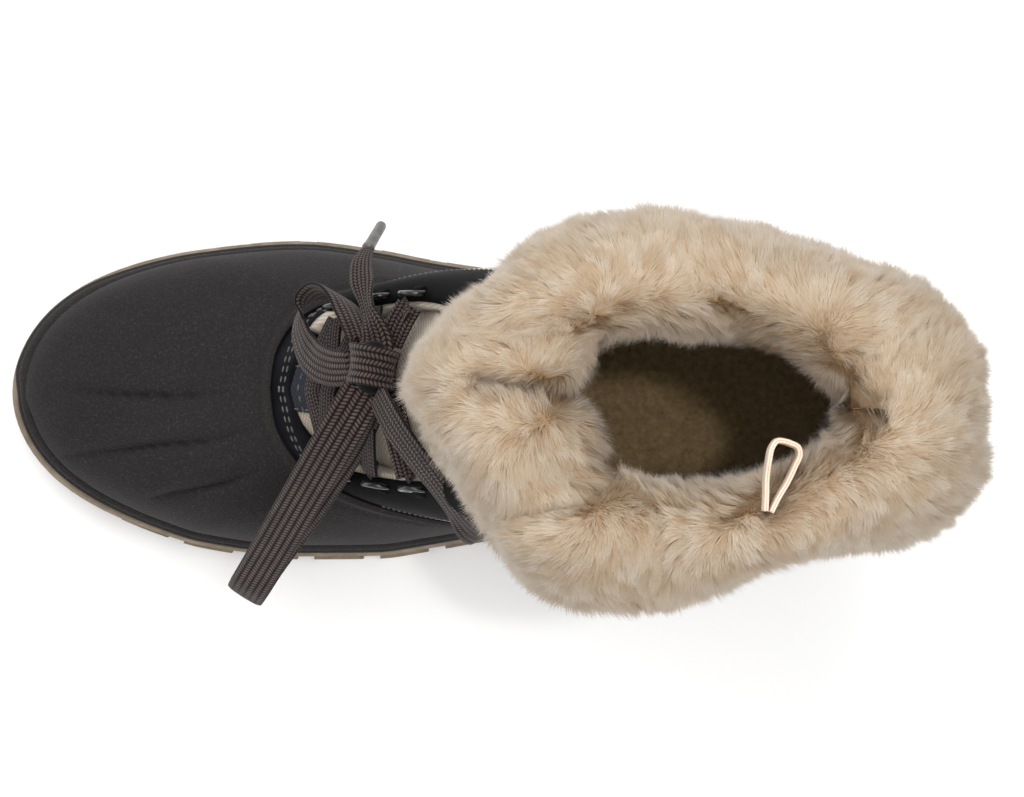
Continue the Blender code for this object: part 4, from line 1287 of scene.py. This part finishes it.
def started(name, base, numbers, result):
    """A node tree that makes one mesh from another by some numbers: the tree, and what it is given."""
    tree = bpy.data.node_groups.new(name, "GeometryNodeTree")
    tree.interface.new_socket(base, in_out="INPUT", socket_type="NodeSocketGeometry")
    for number in numbers:
        kind = "NodeSocketInt" if number == "Seed" else "NodeSocketFloat"
        tree.interface.new_socket(number, in_out="INPUT", socket_type=kind)
    tree.interface.new_socket(result, in_out="OUTPUT", socket_type="NodeSocketGeometry")
    return tree, add(tree, "NodeGroupInput").outputs


def stitch_tree(thread):
    """Stitches along a line whose up attribute points off the cloth: sunk at both ends, proud between."""
    tree, given = started("stitches", "Line", ("Pitch", "Long", "Wide"), "Stitches")
    put = functools.partial(add, tree)
    curve = put("GeometryNodeMeshToCurve", {"Mesh": given["Line"]})
    even = put("GeometryNodeResampleCurve", {"Curve": curve, "Length": given["Pitch"]}, mode="LENGTH")
    long, wide = (put(MATH, (given[name], 0.5), operation="MULTIPLY") for name in ("Long", "Wide"))
    sizes = put("ShaderNodeCombineXYZ", (long, wide, wide))
    ball = put("GeometryNodeMeshUVSphere", {"Segments": 6, "Rings": 4, "Radius": 1.0})
    turned = put("GeometryNodeTransform", {"Geometry": ball, "Rotation": (0, math.pi / 2, 0)})
    shaped = put("GeometryNodeTransform", {"Geometry": turned, "Scale": sizes})
    along = put("GeometryNodeInputTangent")
    up = put("GeometryNodeInputNamedAttribute", {"Name": "up"}, data_type="FLOAT_VECTOR")
    way = put("FunctionNodeAlignRotationToVector", {"Vector": along}, axis="X")
    way = put("FunctionNodeAlignRotationToVector", {"Rotation": way, "Vector": up}, axis="Z", pivot_axis="X")
    made = put("GeometryNodeInstanceOnPoints", {"Points": even, "Instance": shaped, "Rotation": way})
    real = put("GeometryNodeRealizeInstances", (made,))
    coated = put("GeometryNodeSetMaterial", {"Geometry": real, "Material": thread})
    put("NodeGroupOutput", {"Stitches": coated})
    return tree


def grown(name, base, tree, **sizes):
    """The plain mesh that a node tree makes from a base piece, which goes."""
    modifier = base.modifiers.new(tree.name, "NODES")
    modifier.node_group = tree
    for item in tree.interface.items_tree:
        if item.in_out == "INPUT" and item.name in sizes:
            modifier[item.identifier] = sizes[item.name]
    base.update_tag()
    graph = bpy.context.evaluated_depsgraph_get()
    mesh = bpy.data.meshes.new_from_object(base.evaluated_get(graph))
    mesh.name = name
    bpy.data.objects.remove(base)
    made = bpy.data.objects.new(name, mesh)
    bpy.context.scene.collection.objects.link(made)
    return made


def make_stitches(name, seams, thread, pitch=3.4, long=2.3, wide=0.75):
    """All the stitches along the seams, one every pitch, in mm."""
    points = np.concatenate([p for p, _ in seams])
    mesh = bpy.data.meshes.new(name)
    edges, start = [], 0
    for line, _ in seams:
        edges += [(start + k, start + k + 1) for k in range(len(line) - 1)]
        start += len(line)
    mesh.from_pydata(MM * (points - ORIGIN), edges, [])
    layer = mesh.attributes.new("up", "FLOAT_VECTOR", "POINT")
    layer.data.foreach_set("vector", np.concatenate([u for _, u in seams]).astype(np.float32).ravel())
    base = bpy.data.objects.new(name + "_line", mesh)
    bpy.context.scene.collection.objects.link(base)
    made = grown(name, base, stitch_tree(thread), Pitch=pitch * MM, Long=long * MM, Wide=wide * MM)
    return settle(made, "shaft")


def make_lace_loops():
    """Steel wire D's standing along both stays, each with its foot in a leather chape."""
    wires, nodes = [], []
    angles = np.linspace(0, 2 * math.pi, 44, endpoint=False)
    for side, hand in ((1, "medial"), (-1, "lateral")):
        for level, t in enumerate(LOOP_LEVELS, 1):
            turn = -side * LOOP_TURN
            foot, up = lifted(turn, t, LOOP_WIRE / 2 + 0.9)
            run = unit(shaft(turn, t + 0.02) - shaft(turn, t - 0.02))
            across = unit(np.cross(run, up)) * side
            lean = math.radians(LOOP_STAND)
            out = math.cos(lean) * across + math.sin(lean) * up
            x = np.maximum(-0.15, np.sign(np.cos(angles)) * np.abs(np.cos(angles)) ** 0.7) * LOOP_TALL + 1.0
            y = np.sign(np.sin(angles)) * np.abs(np.sin(angles)) ** 0.8 * LOOP_LONG / 2
            path = foot + x[:, None] * out + y[:, None] * run
            wires.append(tube_mesh(path, LOOP_WIRE * 0.42, 10, closed=True))
            nodes.append(f"lace_loop_{hand}_{level}")
            tab = panel(f"chape_{hand}_{level}", SMOOTH_LEATHER, (turn - 0.02 * side, turn + 0.005 * side),
                        lambda u, t=t: t - 0.02, lambda u, t=t: t + 0.02, 1.0, base=2.3, pitch=1.5)
            settle(tab, "shaft")
    settle(piece("lace_loops", *joined(wires), STEEL), "lace_loop", *nodes)


# ---------------------------------------------------------------- fleece

# Seen from above: where the cuff's two ends meet, the slit between them, where the lateral end tucks
# under, and its middle, which stands proud
PIT = np.array([164.0, -2.2])
SLIT = ((164.0, -2.2), (173.0, -3.4), (182.0, -4.6), (191.0, -5.0))
FOLD = ((199.0, -33.0), (191.0, -37.0), (179.5, -39.5), (165.0, -41.0), (153.0, -36.0))
FLAP = ((159.0, -19.0), (176.0, -22.0), (192.0, -21.0))

# How far the fleece stands out past its CAD ring, on each side, and a lateral heel that is fuller
PUSH = table(
    "turn medial lateral",
    (0.00, 0.0, 0.0),
    (0.16, -1.5, -2.0),
    (0.25, -4.5, -4.0),
    (0.32, -2.0, -4.0),
    (0.40, 0.0, -2.0),
    (0.48, 1.0, -2.5),
    (0.55, 2.5, -0.5),
    (0.62, 0.5, -1.5),
    (0.71, 0.0, -3.5),
    (0.80, 1.0, 1.5),
    (0.88, 3.0, 6.0),
    (0.94, 5.0, 6.0),
    (1.00, -2.0, -2.0),
)


# The opening's front half, from the cuff's medial side round the slit to its lateral side
OPENING = table(
    "turn at across",
    (-0.50, 209.6, 14.9),
    (-0.40, 203.5, 13.4),
    (-0.30, 200.8, 12.2),
    (-0.20, 198.2, 10.2),
    (-0.13, 196.0, 7.4),
    (-0.06, 193.0, 2.4),
    (-0.02, 188.5, -3.0),
    (0.02, 188.5, -5.8),
    (0.06, 194.0, -11.5),
    (0.13, 198.6, -18.5),
    (0.20, 200.2, -24.5),
    (0.30, 201.6, -28.6),
    (0.40, 204.2, -30.2),
    (0.50, 210.5, -31.9),
)


def collar_section(turn, around_count):
    """One section of the fleece ring: points once round it, and how far round each one is."""
    along = shaft_point(turn + 0.01, "top") - shaft_point(turn - 0.01, "top")
    out = unit(np.array([along[1], -along[0], 0.0]))
    if abs(turn) < FRONT_EDGE:
        out = unit(np.array([-1.0, -FRONT_FAN * turn / FRONT_EDGE, 0.0]))
    side = "medial" if side_of(turn) > 0 else "lateral"
    outside, inside = (smooth(abs(turn), FLEECE["turn"], FLEECE[k]) for k in (side, "inside"))
    outside += smooth(abs(turn), PUSH["turn"], PUSH[side])
    column = face(shaft_column, [turn], np.linspace(0.3, 1.0, 160))[:, 0]
    section = []
    for share, up in zip(COLLAR["share"], COLLAR["up"]):
        r = share * inside if share < 0 else 0.6 + share * (outside - 0.6)
        wall = np.array([*(np.interp(up, column[:, 2], column[:, k]) for k in (0, 1)), 0.0])
        place = wall + r * out
        if share < 0 and abs(turn) < 0.5:
            brink = np.array([*(np.interp(turn, OPENING["turn"], OPENING[k]) for k in ("at", "across")), 0.0])
            place = wall + (share * inside - 0.6) / (inside + 0.6) * (wall - brink)
        section.append(place + (0, 0, up))
    ring = np.array(section)
    even = np.linspace(0, len(ring), around_count, endpoint=False)
    low = even.astype(int)
    s = (even - low)[:, None]
    p0, p1, p2, p3 = (ring[(low + k) % len(ring)] for k in (-1, 0, 1, 2))
    curve = 2 * p1 + (p2 - p0) * s + (2 * p0 - 5 * p1 + 4 * p2 - p3) * s**2
    curve = 0.5 * (curve + (3 * p1 - p0 - 3 * p2 + p3) * s**3)
    return curve, even / len(ring)


def wool_tree(fibre):
    """Pile on a mesh whose comb attribute says which way it lies and reach how long it is, in metres.
    Fibres near each other gather into locks, and each lock leans and curls its own way."""
    sizes = "Density", "Locks", "Gather", "Lean", "Wide", "Curl", "Seed"
    tree, given = started("wool", "Base", sizes, "Wool")
    put = functools.partial(add, tree)
    scatter, chance, keep = (
        "GeometryNodeDistributePointsOnFaces", "FunctionNodeRandomValue", "GeometryNodeStoreNamedAttribute")
    marks = {}
    for kind, names in (("FLOAT", "dense reach along tone grow across"),
                        ("FLOAT_VECTOR", "comb rise own stray gather root")):
        for name in names.split():
            marks[name] = put("GeometryNodeInputNamedAttribute", {"Name": name}, data_type=kind)

    # Roots all over the base, and the nearest of fewer points is each fibre's lock
    place = put("GeometryNodeInputPosition")
    thick = put(MATH, (given["Density"], marks["dense"]), operation="MULTIPLY")
    roots = put(scatter, {"Mesh": given["Base"], "Density": thick, "Seed": given["Seed"]})
    seeds = put(MATH, (given["Seed"], 40), operation="ADD")
    locks = put(scatter, {"Mesh": given["Base"], "Density": given["Locks"], "Seed": seeds})
    lock = put("GeometryNodeSampleNearest", {"Geometry": locks}, domain="POINT")
    heart = put("GeometryNodeSampleIndex", {"Geometry": locks, "Value": place, "Index": lock},
                data_type="FLOAT_VECTOR", domain="POINT")
    own = put(chance, {0: (-1, -1, -1), 1: (1, 1, 1), "ID": lock, "Seed": 3}, data_type="FLOAT_VECTOR")
    tone = put(chance, {2: 0.0, 3: 1.0, "ID": lock, "Seed": 5}, data_type="FLOAT")
    long = put(chance, {2: 0.7, 3: 1.12, "Seed": 9}, data_type="FLOAT")
    stray = put(chance, {0: (-1, -1, -1), 1: (1, 1, 1), "Seed": 11}, data_type="FLOAT_VECTOR")
    toward = put(VECTOR_MATH, (heart, place), operation="SUBTRACT")
    length = put(MATH, (long, marks["reach"]), operation="MULTIPLY")
    points = roots
    for name, value in (("root", place), ("rise", roots.outputs["Normal"]), ("gather", toward),
                        ("own", own), ("stray", stray), ("tone", tone), ("grow", length)):
        kind = "FLOAT" if name in ("tone", "grow") else "FLOAT_VECTOR"
        points = put(keep, {"Geometry": points, "Name": name, "Value": value},
                     data_type=kind, domain="POINT")

    # A blade is one triangle: along runs from its foot, 0, to its tip, 1, and across is its half width
    blade = put("GeometryNodeMeshCircle", {"Vertices": 3, "Radius": 1.0}, fill_type="NGON")
    split = put("ShaderNodeSeparateXYZ", (place,))
    for name, axis, size, shift in (("along", "X", 2 / 3, 1 / 3), ("across", "Y", -(3**-0.5), 0.0)):
        value = put(MATH, (split.outputs[axis], size, shift), operation="MULTIPLY_ADD")
        blade = put(keep, {"Geometry": blade, "Name": name, "Value": value},
                    data_type="FLOAT", domain="POINT")
    made = put("GeometryNodeInstanceOnPoints", {"Points": points, "Instance": blade})
    real = put("GeometryNodeRealizeInstances", (made,))

    # Each fibre rises, falls over the way it is combed, waves, and closes on its lock
    s, comb, rise = marks["along"], marks["comb"], marks["rise"]
    own_lean = put(VECTOR_MATH, {0: marks["own"], "Scale": given["Lean"]}, operation="SCALE")
    astray = put(VECTOR_MATH, {0: marks["stray"], "Scale": 0.27}, operation="SCALE")
    lean = put(VECTOR_MATH, (comb, own_lean), operation="ADD")
    lean = put(VECTOR_MATH, (lean, astray), operation="ADD")
    squared = put(MATH, (s, 2.0), operation="POWER")
    bowed = put(MATH, (squared, 0.35), operation="MULTIPLY")
    height = put(MATH, (s, bowed), operation="SUBTRACT")
    lift = put(VECTOR_MATH, {0: rise, "Scale": height}, operation="SCALE")
    bent = put(MATH, (put(MATH, (s, 1.5), operation="POWER"), 0.75), operation="MULTIPLY")
    fall = put(VECTOR_MATH, {0: lean, "Scale": bent}, operation="SCALE")
    course = put(VECTOR_MATH, (lift, fall), operation="ADD")
    course = put(VECTOR_MATH, {0: course, "Scale": marks["grow"]}, operation="SCALE")
    side = put(VECTOR_MATH, (comb, rise), operation="CROSS_PRODUCT")
    side = put(VECTOR_MATH, (side,), operation="NORMALIZE")
    turn = put(MATH, (s, 7.5), operation="MULTIPLY")
    start = put(MATH, (marks["tone"], 40.0), operation="MULTIPLY")
    sine = put(MATH, (put(MATH, (turn, start), operation="ADD"),), operation="SINE")
    wave = put(MATH, (sine, put(MATH, (s, 1.2), operation="POWER")), operation="MULTIPLY")
    wave = put(MATH, (wave, given["Curl"]), operation="MULTIPLY")
    close = put(MATH, (put(MATH, (s, 0.8), operation="POWER"), given["Gather"]), operation="MULTIPLY")
    for way, size in ((side, wave), (marks["gather"], close)):
        moved = put(VECTOR_MATH, {0: way, "Scale": size}, operation="SCALE")
        course = put(VECTOR_MATH, (course, moved), operation="ADD")
    wide = put(MATH, (marks["across"], given["Wide"]), operation="MULTIPLY")
    twisted = put(VECTOR_MATH, {0: marks["stray"], "Scale": 0.7}, operation="SCALE")
    face_way = put(VECTOR_MATH, (side, twisted), operation="ADD")
    face_way = put(VECTOR_MATH, (face_way,), operation="NORMALIZE")
    half = put(VECTOR_MATH, {0: face_way, "Scale": wide}, operation="SCALE")
    spot = put(VECTOR_MATH, (marks["root"], course), operation="ADD")
    spot = put(VECTOR_MATH, (spot, half), operation="ADD")
    shaped = put("GeometryNodeSetPosition", {"Geometry": real, "Position": spot})
    coated = put("GeometryNodeSetMaterial", {"Geometry": shaped, "Material": fibre})
    put("NodeGroupOutput", {"Wool": coated})
    return tree


def soften(made):
    """Shades a pile by the surface under it, and drops what only its growing needed."""
    mesh = made.data
    lie = 0
    for name, share in (("rise", 1.0), ("own", 0.2), ("stray", 0.14)):
        way = np.empty(3 * len(mesh.vertices), np.float32)
        mesh.attributes[name].data.foreach_get("vector", way)
        lie = lie + share * way
    mesh.shade_smooth()
    mesh.normals_split_custom_set_from_vertices(units(lie.reshape(-1, 3)).tolist())
    for name in "root rise gather own stray grow across comb reach dense".split():
        if name in mesh.attributes:
            mesh.attributes.remove(mesh.attributes[name])


def from_line(points, *marks):
    """How far points lie from a line through marks, seen from above."""
    line = smooth_path(np.array([(*m, 0.0) for m in marks]), 1.5)[:, :2]
    gaps = np.linalg.norm(points[..., None, :2] - line, axis=-1)
    return gaps.min(-1)


def eddies(points, size, seed):
    """A smooth wandering number from -1 to 1 for each point, in lumps of about this size in mm."""
    draw = np.random.default_rng(seed)
    found = np.zeros(points.shape[:-1])
    for _ in range(7):
        way = units(draw.normal(size=3)) * 2 * math.pi / (size * draw.uniform(1.4, 2.6))
        found = found + np.sin(points @ way + draw.uniform(0, 2 * math.pi))
    return np.clip(found / 3.2, -1, 1)


def make_collar():
    """The deep fleece cuff: a soft lumpy ring whose ends meet at a slit, and the pile on it."""
    around_count = 56
    turns = np.linspace(-1, 1, 201)[:-1]
    turns = np.where(np.abs(turns) < 0.02, turns * 0.5 + 0.01 * np.sign(turns + 1e-9), turns)
    sections = [collar_section(float(turn), around_count) for turn in turns]
    ring = np.array([points for points, _ in sections])
    share = np.array([marks for _, marks in sections])
    tangent = units(np.roll(ring, -1, 1) - np.roll(ring, 1, 1))
    along = units(np.roll(ring, -1, 0) - np.roll(ring, 1, 0))
    up = units(np.cross(along, tangent))
    up *= np.sign(np.sum(up * (ring - ring.mean(1, keepdims=True)), -1).mean())
    crest = 8.9 / 14  # the cuff's top, as a share of the way round its section
    inside = ramp(share, crest + 0.06, crest + 0.2) * (1 - ramp(share, 0.93, 1.0))
    core = ring - (2.2 - 1.0 * inside)[..., None] * up
    lumps = 1.5 * eddies(core, 17, 3) + 0.6 * eddies(core, 7, 4)
    core = core + lumps[..., None] * up
    on_top = ramp(core[..., 2], 200, 222)
    slit, fold, flap = (from_line(core, *line) for line in (SLIT, FOLD, FLAP))
    pit = np.linalg.norm(core[..., :2] - PIT, axis=-1)
    core[..., 2] += (3.0 * hump(flap, 0, 11.0) - 11.0 * hump(slit, 0, 3.4) - 5.0 * hump(pit, 0, 4.5)) * on_top
    core[..., 2] -= 5.0 * hump(fold, 0, 3.2) * on_top

    # The pile lies down the outside and over the inner edge, parts at the slit, and wanders in eddies
    comb = tangent * np.tanh((share - crest) / 0.13)[..., None]
    twist = 1.15 * eddies(core, 22, 5)[..., None]
    comb = comb * np.cos(twist) + along * (np.sin(twist) + 0.35)
    across = core[..., 1] - np.interp(core[..., 0], *np.array(SLIT).T)
    over = np.stack([np.full(across.shape, -0.35), -0.8 * np.tanh(across / 2.5), np.zeros(across.shape)], -1)
    near = (0.6 * hump(slit, 0, 7.0) * on_top)[..., None]
    comb = (1 - near) * comb + near * over
    ahead, beside = (np.roll(core, -1, axis) - np.roll(core, 1, axis) for axis in (0, 1))
    way = units(np.cross(ahead, beside))
    comb = units(comb - way * np.sum(comb * way, -1, keepdims=True))
    reach = 6.5 - 2.9 * inside - 1.0 * hump(fold, 0, 4.0) * on_top
    reach = reach * (1 + 0.14 * eddies(core, 9, 6))
    dense = 1.0 - 0.6 * (1 - ramp(share, 0.08, 0.2)) - 0.25 * inside

    count = len(turns)
    whole = quads(count, around_count, True)
    seam = np.arange(around_count)
    last = seam + (count - 1) * around_count
    closing = np.stack([last, np.roll(last, -1), np.roll(seam, -1), seam], -1)
    # The backing takes a colour a little below the pile's middle: part its own tone, part the painted shade
    # of the pile's depth
    marks = {"tone": np.full(share.shape, 0.6), "along": np.full(share.shape, 0.35)}
    body = piece("collar_body", core, np.concatenate([whole, closing]), FLEECE_BASE, marks=marks)
    settle(body, "collar", "collar")
    bounds = np.linspace(0, count, FLEECE_PARTS + 1).astype(int)
    for k, (low, high) in enumerate(zip(bounds, bounds[1:]), 1):
        part = np.arange(low, high + 1) % count
        base = piece(f"wool_base_{k}", core[part], quads(len(part), around_count, True)[:, ::-1], FLEECE_BASE,
                     marks={"comb": comb[part], "reach": reach[part] * MM, "dense": dense[part]}, flip=False)
        made = grown(f"fleece_{k}", base, WOOL, Density=1.22e7, Locks=1.4e5, Gather=0.17, Lean=0.3,
                     Wide=0.00029, Curl=0.0005, Seed=SEED + k)
        soften(made)
        settle(made, "collar")


def make_lining():
    """Short pile up the inside of the shaft."""
    turns, ts = np.linspace(FRONT_EDGE, 2 - FRONT_EDGE, 80), np.linspace(0.06, 0.98, 24)
    flat, up = shaft_face(turns, ts)
    wall = flat - (SHAFT_WALL + 0.2) * up
    mesh_faces = quads(len(ts), len(turns))[:, ::-1]
    down = units(np.gradient(-wall, axis=0))
    base = piece("lining_base", wall, mesh_faces, SHADED_LINING_FIBRE,
                 marks={"comb": 0.7 * down, "reach": np.full(wall.shape[:2], 4.5 * MM),
                        "dense": np.ones(wall.shape[:2])}, flip=False)
    made = grown("lining_pile", base, LINING, Density=6.5e5, Locks=6e4, Gather=0.4, Lean=0.5,
                 Wide=0.0009, Curl=0.0004, Seed=SEED)
    soften(made)
    settle(made, "shaft")


# The tab's course seen from above, out and back: how far from its foot and how far across, in mm
TAB_OUTLINE = (
    (0.0, -1.0), (4.5, -2.0), (9.5, -3.2), (14.5, -3.8), (18.6, -3.9), (20.6, -3.0), (21.0, -1.2),
    (20.9, 1.2), (20.3, 3.4), (18.6, 4.3), (15.0, 3.9), (10.0, 3.0), (5.0, 1.6), (0.2, 0.6),
)


def make_pull_tab():
    """A folded tape standing out of the fleece: two plies, stitched together near both edges."""
    marks = [TAB_FOOT + out * TAB_RUN + across * TAB_SIDE for out, across in TAB_OUTLINE]
    path = smooth_path(marks, 0.7)
    along = units(np.gradient(path, axis=0))
    side = units(np.cross(along, (0.0, 0.0, 1.0)))
    spots = np.linspace(-1, 1, 25)
    plies = {}
    for name, near, far in (("pull_tab_outer", 0.06, 0.85), ("pull_tab_inner", -0.85, -0.06)):
        rows = []
        for offset in (near, far):
            swell = (1 - 0.35 * np.abs(spots) ** 8 - 0.22 * hump(np.abs(spots), 0.78, 0.06)) * offset
            height = (spots * TAB_WIDE / 2)[:, None, None] * np.array([0, 0, 1.0])
            rows.append(path + height + swell[:, None, None] * side)
        plies[name] = plate(name, rows[1], rows[0], TAPE, uv=grid_uv(rows[1]))
    settle(plies["pull_tab_outer"], "pull_tab", "pull_tab")
    settle(plies["pull_tab_inner"], "pull_tab")


# ---------------------------------------------------------------- the boot

FLEECE_BASE = fleece_fibre("fleece backing", "#A98D69", "#C4AC88", "#D6C2A2")
WOOL = wool_tree(FLEECE_FIBRE)
LINING = wool_tree(SHADED_LINING_FIBRE)

place_camera()
make_laces()
place_lights()
place_floor()
make_knot()
make_lacing()
make_shell()
make_outsole()
make_insole()
make_shaft()
seams = make_leather() + make_tongue()
make_stitches("stitches", seams, PALE_THREAD)
make_lace_loops()
make_collar()
make_lining()
make_pull_tab()
